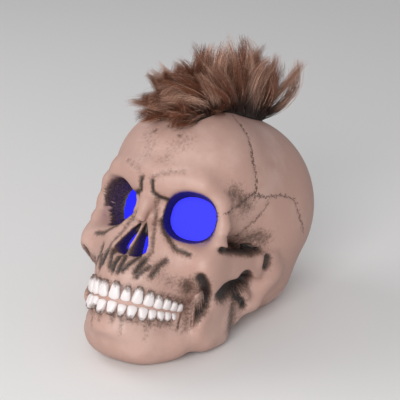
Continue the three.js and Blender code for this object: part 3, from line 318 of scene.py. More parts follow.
def plain_head(points):
    """The head before its sockets and nose are opened."""
    p = mirrored(points)
    d = face(p, braincase(p))
    d = join_soft(d, tooth_band(p, upper_band_z), bone_join)
    d = jaw(p, d)
    nose_spine = ridge(p, [(0, -94, -19, 3), (0, -104, -18, 1.6)])
    return join_soft(d, nose_spine, spine_join)


# Openings: a socket narrows and drifts towards the nose as it goes in, and the nose opening is
# wide near its foot and closes to a point, with a wall left standing between the nostrils.
socket_centre = (31, -77, 17.5)
socket_turn = 21
socket_half_width = 20
socket_half_height = 18.8
socket_squareness = 2.3
socket_scale = 18
socket_taper = 0.005
socket_lead = 6
socket_reach = 40
socket_floor = 18.7
socket_floor_round = 3
socket_edge_round = 1.8
nose_centre_z = -5.5
nose_half_height = 14
nose_heights = [-15, -9, -3, 6, 14]
nose_half_widths = [9, 13.5, 11.5, 6.5, 1]
nose_floor_y = -81
nose_floor_step = 5
nose_side_round = 4
nose_floor_round = 2
nose_slope_share = 0.8
nose_edge_round = 2
septum_half_thick = 1.3
septum_centre_y = -90
septum_half_depth = 11
septum_round = 1
septum_foot_round = 1.5
ground_edge_round = 0.6


def socket(points):
    """Distance to a socket, a squared oval across its own axis, closed at its floor; and how deep."""
    u, depth, w = np.moveaxis(turned(mirrored(points), socket_centre, socket_turn), -1, 0)
    narrow = 1 - socket_taper * np.clip(depth + socket_lead, 0, socket_reach)
    across = np.abs(u / (socket_half_width * narrow)) ** socket_squareness
    up = np.abs(w / (socket_half_height * narrow)) ** socket_squareness
    side = ((across + up) ** (1 / socket_squareness) - 1) * socket_scale
    return cut_soft(side, depth - socket_floor, socket_floor_round), depth


def nose(points):
    """Distance to the nose opening: half widths up its height, and a floor behind."""
    x, y, z = np.moveaxis(mirrored(points), -1, 0)
    up = z - nose_centre_z
    half = np.interp(up, nose_heights, nose_half_widths)
    floor = nose_floor_y - nose_floor_step * fade(up, 2, 5)
    d = cut_soft(x - half, np.abs(up) - nose_half_height, nose_side_round)
    d = cut_soft(d, y - floor, nose_floor_round)
    deep = np.abs(y - septum_centre_y) - septum_half_depth
    septum = cut_soft(x - septum_half_thick, deep, septum_round)
    return cut_soft(d, -septum, septum_foot_round)


def head(points):
    """The whole casting: the head less its sockets, its nose opening and what is under the ground."""
    d = plain_head(points)
    d = cut_soft(d, -socket(points)[0], socket_edge_round)
    d = cut_soft(d, -nose(points) * nose_slope_share, nose_edge_round)
    ground = -on_ground(points)[..., 2] / mm
    return cut_soft(d, ground, ground_edge_round)


# Skin: a grid of sight lines from inside the head, crowded towards the face. Each point walks in
# to the surface, and the face's points then slide on it until the steep walls have their share.
heart = np.array([0, -10, 20.0])
columns = 180
rows = 270
face_crowding = 0.42
front_crowding = 0.25
level_crowding = 0.16
far_off = 150
whole_turns = 5
face_turns = 45
face_rows = (0.27, 0.68)
face_columns = 0.5
face_y = -30
nose_y = -60
nose_round = 15
socket_pull = (1.7, 1.15)
nose_pull = (1.5, 1.05)
step_back = 9
wall_reach = 0.6
wall_depth = 3


def sight_lines(u, v):
    """Directions: u runs from the face (0) round to the back (1), v from the crown down."""
    around = math.pi * u - face_crowding * np.sin(2 * math.pi * u) / 2
    around = around - front_crowding * np.sin(math.pi * u)
    down = math.pi * v + level_crowding * np.sin(2 * math.pi * v)
    return np.stack([np.sin(around) * np.sin(down), -np.cos(around) * np.sin(down), np.cos(down)], -1)


def inward(points):
    """Unit steps towards the heart, but along an opening's own axis in it and near it."""
    way = heart - points
    way /= np.linalg.norm(way, axis=-1, keepdims=True)
    side = np.sign(points[..., 0])
    across, _, up = np.moveaxis(turned(mirrored(points), socket_centre, socket_turn), -1, 0)
    wide = np.hypot(across / socket_half_width, up / socket_half_height)
    share = fade(wide, *socket_pull) * (points[..., 1] < face_y)
    turn = math.radians(socket_turn)
    axis = np.stack([-math.sin(turn) * side, math.cos(turn) + 0 * side, 0 * side], -1)
    way = way * (1 - share[..., None]) + axis * share[..., None]
    wide = np.hypot(points[..., 0] / nose_round, (points[..., 2] - nose_centre_z) / nose_round)
    share = fade(wide, *nose_pull) * (points[..., 1] < nose_y)
    way = way * (1 - share[..., None]) + np.array([0, 1, 0]) * share[..., None]
    return way / np.linalg.norm(way, axis=-1, keepdims=True)


def walk_in(form, points, ways, steps=60, stride=0.85, touch=0.01):
    """Moves each point along its way by most of its distance to the form, until it touches."""
    points = points.copy()
    live = np.ones(points.shape[:-1], bool)
    for _ in range(steps):
        d = form(points[live])
        points[live] += ways[live] * (d * stride)[..., None]
        live[live] = np.abs(d) > touch
        if not live.any():
            break
    return points


def eased(points, kept=0.2):
    """Each point drawn to the middle of its neighbours; the first column stays on the midline."""
    out = points.copy()
    out[1:-1, 1:-1] = (points[:-2, 1:-1] + points[2:, 1:-1] + points[1:-1, :-2] + points[1:-1, 2:]) / 4
    out[1:-1, 0] = (points[:-2, 0] + points[2:, 0]) / 2
    return points * kept + out * (1 - kept)


def settled(form, points, reach=0.05, damping=0.05, longest=2):
    """Points moved onto a form's surface by the shortest way, twice: the distance over its slope,
    which is measured over a short reach along each axis."""
    for _ in range(2):
        d = form(points)
        slope = np.stack([form(points + reach * axis) - d for axis in np.eye(3)], -1) / reach
        move = d[..., None] * slope / ((slope * slope).sum(-1, keepdims=True) + damping)
        points = points - np.clip(move, -longest, longest)
    return points


def head_grid():
    """Half the skin: rows of points from crown to underside, columns from face to back. The grid is
    evened out and walked in a few times, then its face many more times on the surface itself, which
    carries points onto the steep walls of the openings. What reaches a socket's wall stays on it."""
    u = np.linspace(0, 1, columns + 1)[None, :]
    v = np.linspace(0, 1, rows + 1)[:, None]
    lines = sight_lines(u + 0 * v, v + 0 * u)
    points = walk_in(plain_head, heart + lines * far_off, -lines)
    for _ in range(whole_turns):
        start = eased(points)
        start[:, -1, 0] = 0
        ways = inward(start)
        ways[:, [0, -1], 0] = 0
        points = walk_in(head, start - ways * step_back, ways)
    top, foot = (int(rows * share) for share in face_rows)
    window = points[top:foot, :int(columns * face_columns)]
    for _ in range(face_turns):
        within, depth = socket(window)
        walled = (np.abs(within) < wall_reach) & (depth > wall_depth)
        start = eased(window)
        moved = settled(head, start)
        moved[walled] = settled(lambda p: -socket(p)[0], start[walled])
        moved[:, 0, 0] = 0
        window[1:-1, :-1] = moved[1:-1, :-1]
    return points


def ring_faces(rings, around, first=0):
    """Quads over a stack of closed rings, from a first point number on."""
    row, column = np.meshgrid(np.arange(rings - 1), np.arange(around), indexing="ij")
    a = first + row * around + column
    b = first + row * around + (column + 1) % around
    return np.stack([a, b, b + around, a + around], -1).reshape(-1, 4)


def whole_skin(half_points):
    """Both halves of a grid as points and faces: the middle columns are shared, each end is one point."""
    height = len(half_points)
    other = half_points[:, -2:0:-1] * np.array([-1, 1, 1])
    ring = np.concatenate([half_points, other], 1)
    around = ring.shape[1]
    points = np.concatenate([ring[0, :1], ring[1:-1].reshape(-1, 3), ring[-1, :1]])
    quads = ring_faces(height - 2, around, 1)[:, [0, 3, 2, 1]]
    ends = np.arange(around)
    after = (ends + 1) % around
    top = np.stack([np.zeros(around, int), 1 + ends, 1 + after], -1)
    last = 1 + (height - 3) * around
    low = np.stack([np.full(around, len(points) - 1), last + after, last + ends], -1)
    return points, quads, np.concatenate([top, low])


def new_piece(name, points, faces, material, masks=None):
    """A mesh object at the origin from points in metres, with masks kept as point values."""
    mesh = bpy.data.meshes.new(name)
    corners = np.concatenate([group.ravel() for group in faces])
    sizes = np.concatenate([np.full(len(group), group.shape[1]) for group in faces])
    mesh.vertices.add(len(points))
    mesh.vertices.foreach_set("co", np.asarray(points, np.float32).ravel())
    mesh.loops.add(len(corners))
    mesh.loops.foreach_set("vertex_index", corners.astype(np.int32))
    mesh.polygons.add(len(sizes))
    mesh.polygons.foreach_set("loop_start", np.concatenate([[0], np.cumsum(sizes)[:-1]]).astype(np.int32))
    mesh.polygons.foreach_set("loop_total", sizes.astype(np.int32))
    mesh.polygons.foreach_set("use_smooth", np.ones(len(sizes), bool))
    for key, values in (masks or {}).items():
        kind, field = ("FLOAT_VECTOR", "vector") if values.shape[1:] == (3,) else ("FLOAT", "value")
        mask = mesh.attributes.new(key, kind, "POINT")
        mask.data.foreach_set(field, values.astype(np.float32).ravel())
    mesh.update(calc_edges=True)
    mesh.materials.append(material)
    return put(name, mesh)


# Hollows and seams of the casting, each a named line on the photograph's pixels that the camera
# casts onto the plain head. A hollow has points, width and depth in millimetres, how dark its wash
# is and how steep its sides are (2 is a soft dip, 5 a hole with an edge). The arch shade's darkness
# is painted shade rather than wash. A seam has the half width of its wandering line and points.
hollows = {
    "nasal root crease": ([(152, 180), (152.7, 191.6), (160, 197), (168, 199.5)], 1.5, 1.3, 0.9, 2),
    "brow crease": ([(151, 177), (164.5, 172), (185, 171)], 2.4, 0.8, 0.25, 2),
    "nose side": ([(157.7, 199.5), (155, 218), (153, 236), (152, 252), (135, 272)], 2.0, 1.0, 0.5, 2),
    "socket crescent": ([(162, 220), (163.4, 231), (176, 249.5), (189.5, 255)], 2.2, 1.5, 0.75, 2),
    "canine groove": ([(124.8, 256.4), (121, 264), (116.8, 272.3)], 1.9, 2.6, 0.9, 2),
    "incisor groove": ([(112.3, 249.5), (110, 259), (108.9, 267.7)], 1.7, 2.2, 0.85, 2),
    "front groove": ([(101, 255), (99.5, 262), (99, 269)], 1.6, 1.9, 0.75, 2),
    "root groove": ([(144, 261), (139, 267), (135, 272)], 1.9, 2.2, 0.8, 2),
    "leaf groove": ([(165.7, 261), (158, 267), (151, 276.8)], 2.4, 2.0, 0.75, 2),
    "front cheek hollow": ([(165, 280), (168.5, 283)], 6.2, 1.8, 0.28, 2),
    "rear cheek hollow": ([(187, 286), (188, 290)], 5.4, 2.6, 0.65, 2),
    "mouth corner": (
        [(201, 280), (205, 287), (206, 296), (205, 303), (202, 310), (197, 317), (189, 323), (181, 326)],
        4.2, 5.0, 1.0, 3,
    ),
    "temple wash": ([(233, 193), (241, 199), (249, 206)], 5.0, 0.5, 0.35, 2),
    "gap over arch": ([(222, 251), (232, 252.5), (241, 253.5), (250, 253.5), (260, 251)], 2.6, 6.0, 1.0, 4),
    "gap heart": ([(237, 251.5), (250, 250.5)], 4.4, 7.5, 1.0, 4),
    # Painted shade: a soft darkening that rises from the gap over the arch.
    "arch shade": ([(228, 243), (242, 242), (260, 236)], 5.5, 2.0, 0.5, 2),
    "gap end": ([(258, 249), (264, 244), (269, 238)], 4.4, 1.0, 0.3, 2),
    "ear pit": ([(269, 258.5), (267, 267)], 3.6, 3.0, 0.85, 4),
    "jaw notch": ([(222, 297), (226, 290), (232, 285), (239, 281), (247, 278)], 5.6, 5.0, 1.0, 5),
    "jaw notch foot": ([(230, 291), (238, 287), (246, 283)], 4.5, 3.0, 0.75, 3),
    "jaw triangle": ([(236, 299), (241, 302), (243, 306)], 3.2, 3.0, 1.0, 4),
    "jaw back": ([(236, 309), (234, 320), (232, 332)], 4.5, 6.0, 0.6, 2),
    "brow pit": ([(155, 130)], 1.8, 0.7, 0.4, 2),
    "forehead pit": ([(172.5, 126)], 1.8, 0.7, 0.4, 2),
    # A darker patch on the left of the forehead.
    "forehead darkening": ([(146, 132), (150, 143), (148, 154)], 7.0, 0.2, 0.22, 2),
    "side stain": ([(236, 190), (243, 202), (240, 214)], 7.0, 0.2, 0.25, 2),
    "chin streak": ([(101, 309), (98, 321)], 2.0, 0.7, 0.3, 2),
    "jaw streak": ([(122, 321), (119, 334)], 2.2, 0.7, 0.28, 2),
    "jaw side streak": ([(147, 327), (145, 340)], 2.2, 0.7, 0.25, 2),
    "gum line": ([(96, 306), (112, 315), (135, 322), (160, 326), (176, 325)], 2.4, 0.8, 0.4, 2),
}
seams = {
    "crown_seam": (0.95, [(235, 118), (243, 128), (248.6, 138), (253, 161), (256.6, 179), (255.5, 195)]),
    "side_seam": (0.68, [(253, 195), (264.5, 197), (281.6, 195), (295, 199.5), (298.6, 213), (303, 229)]),
    "temple_seam": (0.55, [(228, 213), (238, 206), (251, 195)]),
    "side_branch": (0.45, [(268, 202), (265.7, 208.6), (255.5, 220), (237, 236)]),
}
seam_width = 1.5
seam_depth = 0.4
seam_wash = 0.22
seam_limit = 9
seam_fade = (6, 3)
seam_steepness = 2
halo_dark = 0.3
halo_power = 0.22
pixel_slope = sensor_mm / lens_mm / picture_side
head_eye = in_head(eye)
sight = (head_eye - aim_head) / np.linalg.norm(head_eye - aim_head)
depth_share = 0.3
start_share = 0.82
cast_steps = 90


def cast(pixels):
    """Where the camera's rays through some pixels meet the plain head, on its left side."""
    across = (np.array(pixels, float) - aim_pixel) * pixel_slope
    rays = -to_camera + across[:, :1] * view_right - across[:, 1:] * view_up
    rays = in_head(eye + rays) - head_eye
    ways = rays / np.linalg.norm(rays, axis=-1)[:, None]
    return mirrored(walk_in(plain_head, head_eye + rays * start_share, ways, cast_steps))


def off_line(points, line):
    """Distance from points to a line of joined points, or to its only one. What lies along the line of
    sight counts for a share, so that a mark keeps its outline where the head falls away in steps."""
    points = points - (1 - depth_share) * (points @ sight)[..., None] * sight
    line = line - (1 - depth_share) * (line @ sight)[:, None] * sight
    if len(line) == 1:
        return np.linalg.norm(points - line[0], axis=-1)
    tubes = [bone(points, (*a, 0), (*b, 0)) for a, b in zip(line[:-1], line[1:])]
    return np.minimum.reduce(tubes)


def across_seam(points, line):
    """Where points lie from a seam: nothing, the signed distance to its nearest stretch across it
    and along the skin, and a share that is 1 near it and fades at its sides and past its ends."""
    outward = points - heart
    offset = np.zeros(points.shape[:-1])
    nearest = np.full(points.shape[:-1], math.inf)
    for a, b in zip(line[:-1], line[1:]):
        run = b - a
        share = np.clip((points - a) @ run / (run @ run), 0, 1)
        off = points - a - share[..., None] * run
        gap = np.linalg.norm(off, axis=-1)
        side = np.cross(run, outward)
        signed = (off * side).sum(-1) / np.linalg.norm(side, axis=-1)
        offset = np.where(gap < nearest, signed, offset)
        nearest = np.minimum(nearest, gap)
    offset = np.clip(offset, -seam_limit, seam_limit)
    return np.stack([0 * offset, offset, fade(nearest, *seam_fade)], -1)


def carved(points):
    """The skin with its hollows and seams pressed in, and the wash that each leaves, which for the
    arch shade is painted shade: dark in its middle, with a faint halo that falls off slowly."""
    depth = np.zeros(points.shape[:-1])
    wash_and_shade = np.zeros(points.shape[:-1])
    side = mirrored(points)
    marks = list(hollows.values())
    marks += [(pixels, seam_width, seam_depth, seam_wash, seam_steepness) for _, pixels in seams.values()]
    for pixels, width, deep, dark, steepness in marks:
        share = np.exp(-((off_line(side, cast(pixels)) / width) ** steepness))
        halo = halo_dark * dark * share ** halo_power
        depth = np.maximum(depth, deep * share)
        wash_and_shade = 1 - (1 - wash_and_shade) * (1 - dark * share) * (1 - halo)
    return points + inward(points) * depth[..., None], wash_and_shade


# Wash: thin dark paint wiped off the high places. It stays on the sockets' walls, a little lighter
# on the outer side, in the nose opening, and on the gums above and below the bite. On the sockets'
# walls its near-black is partly painted shade.
socket_wash_and_shade = 0.98
socket_edge_fade = (1.0, 0.1)
socket_rim_fade = (-8, 0)
outer_lighter = 0.14
outer_fade = (-14, 10)
nose_dark = 0.78
nose_deep_dark = 0.2
nose_edge_fade = (1.0, -0.2)
nose_depth_fade = (-97, -89)
nose_front_y = -101
nose_back_y = -70
gum_half_width = 33
gum_depth = 48
gum_centre_z = -52
gum_back_y = -44
gum_dark = 0.5
gum_fade = (0.5, 0.2)
gum_end_fade = (17, 9)
bite_fade = (0.6, 3)
bite_height = -52.6


def washed_and_shaded(points, wash_and_shade):
    """The wash of the hollows, or that of the openings and the gums where it is darker; on the
    sockets' walls it is partly painted shade.
    """
    y, z = points[..., 1], points[..., 2]
    across, depth, _ = np.moveaxis(turned(mirrored(points), socket_centre, socket_turn), -1, 0)
    in_socket = fade(socket(points)[0], *socket_edge_fade) * fade(depth, *socket_rim_fade) * (y < face_y)
    in_nose = fade(nose(points), *nose_edge_fade) * (y > nose_front_y) * (y < nose_back_y)
    row = (points[..., 0] / gum_half_width) ** arch_squareness
    row = row + np.abs((y - arch_centre_y) / gum_depth) ** arch_squareness
    on_gum = fade(np.abs(row - 1), *gum_fade) * fade(np.abs(z - gum_centre_z), *gum_end_fade)
    on_gum = on_gum * (y < gum_back_y)
    off_bite = fade(np.abs(z - bite_height), *bite_fade)
    # Sockets' walls: wash and painted shade, a little less of it on the outer side.
    wash_and_shade = np.maximum(wash_and_shade, in_socket * (socket_wash_and_shade - outer_lighter * fade(across, *outer_fade)))
    wash_and_shade = np.maximum(wash_and_shade, in_nose * (nose_dark + nose_deep_dark * fade(y, *nose_depth_fade)))
    return np.maximum(wash_and_shade, gum_dark * on_gum * off_bite)


def step(tree, kind, inputs=None, **settings):
    """A new node of a kind in a tree, with its settings and its inputs."""
    node = tree.nodes.new("ShaderNode" + kind)
    for key, value in settings.items():
        setattr(node, key, value)
    return feed(node, inputs or {})


def new_group(name, inputs, outputs):
    """A shader group with named sockets: the group, what it is given and what it puts out."""
    group = bpy.data.node_groups.new(name, "ShaderNodeTree")
    kinds = {1: "NodeSocketFloat", 3: "NodeSocketVector", 4: "NodeSocketColor"}
    for label, value in inputs.items():
        kind = kinds[np.size(value)]
        group.interface.new_socket(label, in_out="INPUT", socket_type=kind).default_value = value
    for label, size in outputs.items():
        group.interface.new_socket(label, in_out="OUTPUT", socket_type=kinds[size])
    return group, group.nodes.new("NodeGroupInput").outputs, group.nodes.new("NodeGroupOutput")


def lay(tree, group, inputs):
    """A group's effect in a material, with the material's own values, and its outputs."""
    return step(tree, "Group", inputs, node_tree=group).outputs


def point_mask(tree, name, output="Fac"):
    """A mask that a piece keeps on its points."""
    return step(tree, "Attribute", attribute_name=name).outputs[output]


def noise(tree, scale, detail, roughness=0.6):
    """A noise over object coordinates, in cycles a metre, and its value."""
    place = step(tree, "TexCoord").outputs["Object"]
    texture = {"Vector": place, "Scale": scale, "Detail": detail, "Roughness": roughness}
    return step(tree, "TexNoise", texture).outputs["Fac"]


def band(tree, value, low, high, to_high=1.0):
    """A smooth rise from nothing where a value is low to to_high where it is high."""
    ends = {"Value": value, "From Min": low, "From Max": high, "To Max": to_high}
    return step(tree, "MapRange", ends, interpolation_type="SMOOTHSTEP").outputs["Result"]


def mixed(tree, mask, a, b):
    """Colour a where a mask is 0 and b where it is 1: sockets 6 and 7 are the colours of a mix."""
    return step(tree, "Mix", {"Factor": mask, 6: a, 7: b}, data_type="RGBA").outputs[2]


def sums(tree, kind, *entries):
    """One arithmetic step on values and numbers."""
    return step(tree, "Math", dict(enumerate(entries)), operation=kind).outputs[0]


# Two effects that all the finishes share: a colour that clouds into a second, and a paint laid where
# a mask is high, with an edge that a noise breaks up. The third is for seams alone: a wandering line.
grey = (0.5, 0.5, 0.5, 1)
two_tone, given, out = new_group(
    "two_tone",
    {"Tone A": grey, "Tone B": grey, "Scale": 300.0, "Detail": 3.0, "From": 0.4, "To": 0.65},
    {"Color": 4, "Cloud": 1},
)
cloud = noise(two_tone, given["Scale"], given["Detail"])
share = band(two_tone, cloud, given["From"], given["To"])
feed(out, {"Color": mixed(two_tone, share, given["Tone A"], given["Tone B"]), "Cloud": cloud})

broken_paint, given, out = new_group(
    "broken_paint",
    {
        "Under": grey, "Paint": grey, "Mask": 0.0, "Ragged": 1.0, "Scale": 400.0, "Detail": 5.0,
        "Start": 0.1, "Full": 0.8, "Cover": 1.0,
    },
    {"Color": 4},
)
grain = sums(broken_paint, "SUBTRACT", noise(broken_paint, given["Scale"], given["Detail"], 0.72), 0.5)
torn = sums(broken_paint, "MULTIPLY_ADD", grain, given["Ragged"], given["Mask"])
laid = band(broken_paint, torn, given["Start"], given["Full"], given["Cover"])
feed(out, {"Color": mixed(broken_paint, laid, given["Under"], given["Paint"])})

wandering_line, given, out = new_group(
    "wandering_line",
    {"Seam": (0.0, 9.0, 0.0), "Wander": 0.0, "Half Width": 0.4},
    {"Mask": 1},
)
seam = step(wandering_line, "SeparateXYZ", {"Vector": given["Seam"]}).outputs
aside = sums(wandering_line, "ABSOLUTE", sums(wandering_line, "ADD", seam["Y"], given["Wander"]))
on_line = band(wandering_line, aside, given["Half Width"], 0.0)
feed(out, {"Mask": sums(wandering_line, "MULTIPLY", on_line, seam["Z"])})

bone_finish, shader = new_material("painted_bone")
tree = bone_finish.node_tree
bone_pink = {"Tone A": (0.45, 0.272, 0.222, 1), "Tone B": (0.54, 0.355, 0.30, 1)}
bone_tones = lay(tree, two_tone, {**bone_pink, "Scale": 22.0, "Detail": 5.0, "From": 0.42, "To": 0.72})
# The wash mask, which on the sockets' walls and over the arch is partly painted shade.
wash_and_shade = point_mask(tree, "wash_and_shade")
wander_reach = 12.0
ripple = noise(tree, 380.0, 3.0, 0.75)
wander = sums(tree, "MULTIPLY", sums(tree, "SUBTRACT", ripple, 0.5), wander_reach)
line = 0.0
for key, (half_width, _) in seams.items():
    place = point_mask(tree, key, "Vector")
    hair = lay(tree, wandering_line, {"Seam": place, "Wander": wander, "Half Width": half_width})
    line = sums(tree, "MAXIMUM", hair["Mask"], line)
coat_parts = ("Paint", "Mask", "Ragged", "Scale", "Detail", "Start", "Full", "Cover")
# The brown and black coats are laid where the wash mask, partly painted shade, is high.
coats = {
    "stain": ((0.24, 0.145, 0.105, 1), 0.0, 1.0, 11.0, 8.0, 0.05, 0.28, 0.42),
    "brown": ((0.085, 0.045, 0.030, 1), wash_and_shade, 1.3, 420.0, 6.0, 0.12, 0.75, 0.9),
    "black": ((0.012, 0.008, 0.007, 1), wash_and_shade, 1.0, 900.0, 3.0, 0.62, 1.0, 1.0),
    "seam": ((0.045, 0.022, 0.015, 1), line, 0.5, 700.0, 3.0, 0.05, 0.45, 0.95),
}
colour = bone_tones["Color"]
for entries in coats.values():
    colour = lay(tree, broken_paint, {"Under": colour, **dict(zip(coat_parts, entries))})["Color"]
rough_skin = sums(tree, "MULTIPLY_ADD", noise(tree, 420.0, 6.0, 0.75), 0.5, bone_tones["Cloud"])
bump = step(tree, "Bump", {"Height": rough_skin, "Distance": 0.0006, "Strength": 0.35})
feed(shader, {"Base Color": colour, "Roughness": 0.52, "Normal": bump.outputs["Normal"]})

half_skin, hollow_wash_and_shade = carved(head_grid())
# Wash, with painted shade on the sockets' walls and over the arch.
skin_wash_and_shade = washed_and_shaded(half_skin, hollow_wash_and_shade)
skin_points, quads, ends = whole_skin(half_skin)
masks = {"wash_and_shade": whole_skin(np.repeat(skin_wash_and_shade[..., None], 3, -1))[0][:, 1]}
for key, (_, pixels) in seams.items():
    masks[key] = whole_skin(across_seam(mirrored(half_skin), cast(pixels)))[0]

# Base opening: the skin ends at a round edge about the base plate, a little clear of it.
edge_gap = 0.3 * mm
floor_reach = 2 * mm
ground_points = on_ground(skin_points)
plate_middle = np.array([(plate_low.x + plate_high.x) / 2, (plate_low.y + plate_high.y) / 2])
edge_radius = (plate_high.x - plate_low.x) / 2 + edge_gap
from_middle = ground_points[:, :2] - plate_middle
off_middle = np.linalg.norm(from_middle, axis=-1)
open_here = (off_middle < edge_radius) & (ground_points[:, 2] < floor_reach)
quads = quads[~open_here[quads].all(-1)]
ends = ends[~open_here[ends].all(-1)]
ground_points[open_here, :2] = plate_middle + (from_middle / off_middle[:, None] * edge_radius)[open_here]
skull = new_piece("skull", ground_points, [quads, ends], bone_finish, masks)
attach(skull, "skull")
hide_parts("skull_shell")

# Lenses: three pieces of blue plastic behind the sockets and the nose, glued at their edges. A lamp
# behind each lights the real one evenly; here the lens itself glows, a painted glow that stands in for
# that light. They keep the forms that the CAD gave them.
blue_lens, shader = new_material("blue_lens")
# Its emission is the painted glow of the lit lens.
feed(shader, {
    "Base Color": (0.005, 0.005, 0.25, 1), "Roughness": 0.5, "Specular IOR Level": 0.2,
    "Emission Color": (0.020, 0.020, 0.95, 1), "Emission Strength": 1.0,
})


def dress(finish, *starts):
    """Gives a finish to the CAD nodes whose names start with one of some words."""
    for name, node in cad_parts.items():
        if name.startswith(starts):
            node.data.materials.clear()
            node.data.materials.append(finish)


dress(blue_lens, "eye_lens", "nose_lens")

# Teeth: thirty-two pegs, cast with the skull and painted white by hand. Each is a stack of squared
# rings, narrow at the root and widest near its biting edge, set round the arch and a little uneven.
tooth_rows = {
    "upper": {"width": 1, "length": 1, "bite": 0.5, "out": 1.1},
    "lower": {"width": 0.9, "length": 0.82, "bite": -0.7, "out": -0.2},
}
tooth_widths = [9.2, 8.0, 9.0, 9.2, 8.6, 9.0, 8.4, 8.0]
tooth_lengths = [13.4, 12, 13.6, 12.2, 10.8, 9.6, 8.6, 7.4]
tooth_gap_share = 0.93
tooth_half_thick = 2.9
width_heights = [0, 0.3, 0.72, 0.9, 0.97, 1]
width_shares = [0.45, 0.74, 1, 0.95, 0.74, 0.3]
thick_heights = [0, 0.3, 0.7, 0.9, 0.97, 1]
thick_shares = [0.8, 1, 0.9, 0.62, 0.45, 0.2]
tooth_squareness = 2.6
middle_gap = 0.15
width_scatter = 0.02
length_scatter = 0.05
lean_scatter = 0.05
bite_scatter = 0.25
arch_steps = 400
arch_run_out = 30
heading_reach = 0.5
tooth_turns = 20
tooth_rings = 12
chance = np.random.default_rng(7)


def arch_place(walked, out):
    """The point at a distance along the arch from its middle, moved outwards, and its heading."""
    turn = np.linspace(0, math.pi / 2, arch_steps)
    power = 2 / arch_squareness
    x = (arch_half_width + out) * np.sin(turn) ** power
    y = arch_centre_y - (arch_depth + out) * np.cos(turn) ** power
    x = np.append(x, x[-1])
    y = np.append(y, y[-1] + arch_run_out)
    run = np.concatenate([[0], np.cumsum(np.hypot(np.diff(x), np.diff(y)))])
    here = np.array([np.interp(walked, run, x), np.interp(walked, run, y)])
    further = walked + heading_reach
    ahead = np.array([np.interp(further, run, x), np.interp(further, run, y)])
    heading = ahead - here
    return here, math.atan2(heading[1], heading[0])


def tooth(width, length, bite, upper, place, heading, side):
    """Rings of a squared oval: widths by height, a rounded crown and a waist at the gum."""
    share = np.linspace(0, 1, tooth_rings)[:, None]
    turn = np.linspace(0, 2 * math.pi, tooth_turns, endpoint=False)[None, :]
    wide = np.interp(share, width_heights, width_shares)
    thick = np.interp(share, thick_heights, thick_shares)
    squared = 2 / tooth_squareness
    across = width / 2 * wide * np.sign(np.cos(turn)) * np.abs(np.cos(turn)) ** squared
    deep = tooth_half_thick * thick * np.sign(np.sin(turn)) * np.abs(np.sin(turn)) ** squared
    lean = chance.normal(0, lean_scatter)
    up = (length * (1 - share) if upper else -length * (1 - share)) + 0 * turn
    along = across + lean * up
    x = place[0] + along * math.cos(heading) - deep * math.sin(heading)
    y = place[1] + along * math.sin(heading) + deep * math.cos(heading)
    bite = bite_height + bite + chance.normal(0, bite_scatter)
    return np.stack([side * x, y, bite + up], -1), share + 0 * turn


tooth_points, tooth_quads, tooth_caps, root_mask = [], [], [], []
for name, row in tooth_rows.items():
    upper = name == "upper"
    for side in (1, -1):
        walked = middle_gap
        for width, length in zip(tooth_widths, tooth_lengths):
            wide = width * row["width"] * (1 + chance.normal(0, width_scatter))
            long = length * row["length"] * (1 + chance.normal(0, length_scatter))
            here, heading = arch_place(walked + wide / 2, row["out"])
            walked += wide
            wide *= tooth_gap_share
            rings, share = tooth(wide, long, row["bite"], upper, here, heading, side)
            first = tooth_rings * tooth_turns * len(tooth_points)
            quads = ring_faces(tooth_rings, tooth_turns, first)
            cap = first + (tooth_rings - 1) * tooth_turns + np.arange(tooth_turns)[None, :]
            flip = (side > 0) == upper
            tooth_points.append(rings.reshape(-1, 3))
            tooth_quads.append(quads[:, ::-1] if flip else quads)
            tooth_caps.append(cap[:, ::-1] if flip else cap)
            root_mask.append(1 - share.ravel())
tooth_finish, shader = new_material("painted_tooth")
tree = tooth_finish.node_tree
tooth_paint = lay(tree, broken_paint, {
    "Under": (0.74, 0.68, 0.67, 1), "Paint": (0.13, 0.075, 0.055, 1), "Mask": point_mask(tree, "root"),
    "Ragged": 1.0, "Scale": 260.0, "Start": 0.58, "Full": 1.0,
})
feed(shader, {"Base Color": tooth_paint["Color"], "Roughness": 0.4})
tooth_faces = [np.concatenate(tooth_quads), np.concatenate(tooth_caps)]
tooth_masks = {"root": np.concatenate(root_mask)}
teeth = new_piece("teeth", on_ground(np.concatenate(tooth_points)), tooth_faces, tooth_finish, tooth_masks)
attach(teeth, "skull")
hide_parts("skull_shell")

# Fur backing: a strip of dark woven cloth, glued over the crown from the forehead to behind it. It
# is narrower at its two ends, and its sides are turned down to the casting.
strip_front, strip_back = 47, 27
strip_width = 36
strip_drop = 75
end_width_share = 0.45
strip_start = 130
sheet_rows = 90
sheet_columns = 28
cloth_height = 1.6
side_drop = 1.3


def strip_line(s, t):
    """Directions from the heart: s runs from the forehead back, t from side to side."""
    lean = math.radians(strip_front) - math.radians(strip_front + strip_back) * s
    ends = 1 - (2 * s - 1) ** 6
    aside = np.arctan2(strip_width / 2 * t * (end_width_share + (1 - end_width_share) * ends), strip_drop)
    return np.stack([np.sin(aside), -np.sin(lean) * np.cos(aside), np.cos(lean) * np.cos(aside)], -1)


def on_strip(s, t, height):
    """Points over the crown: the strip's directions walked in to the head, then raised by a height."""
    lines = strip_line(s, t)
    skin = walk_in(plain_head, heart + lines * strip_start, -lines)
    return skin + lines * (height + 0 * s)[..., None]


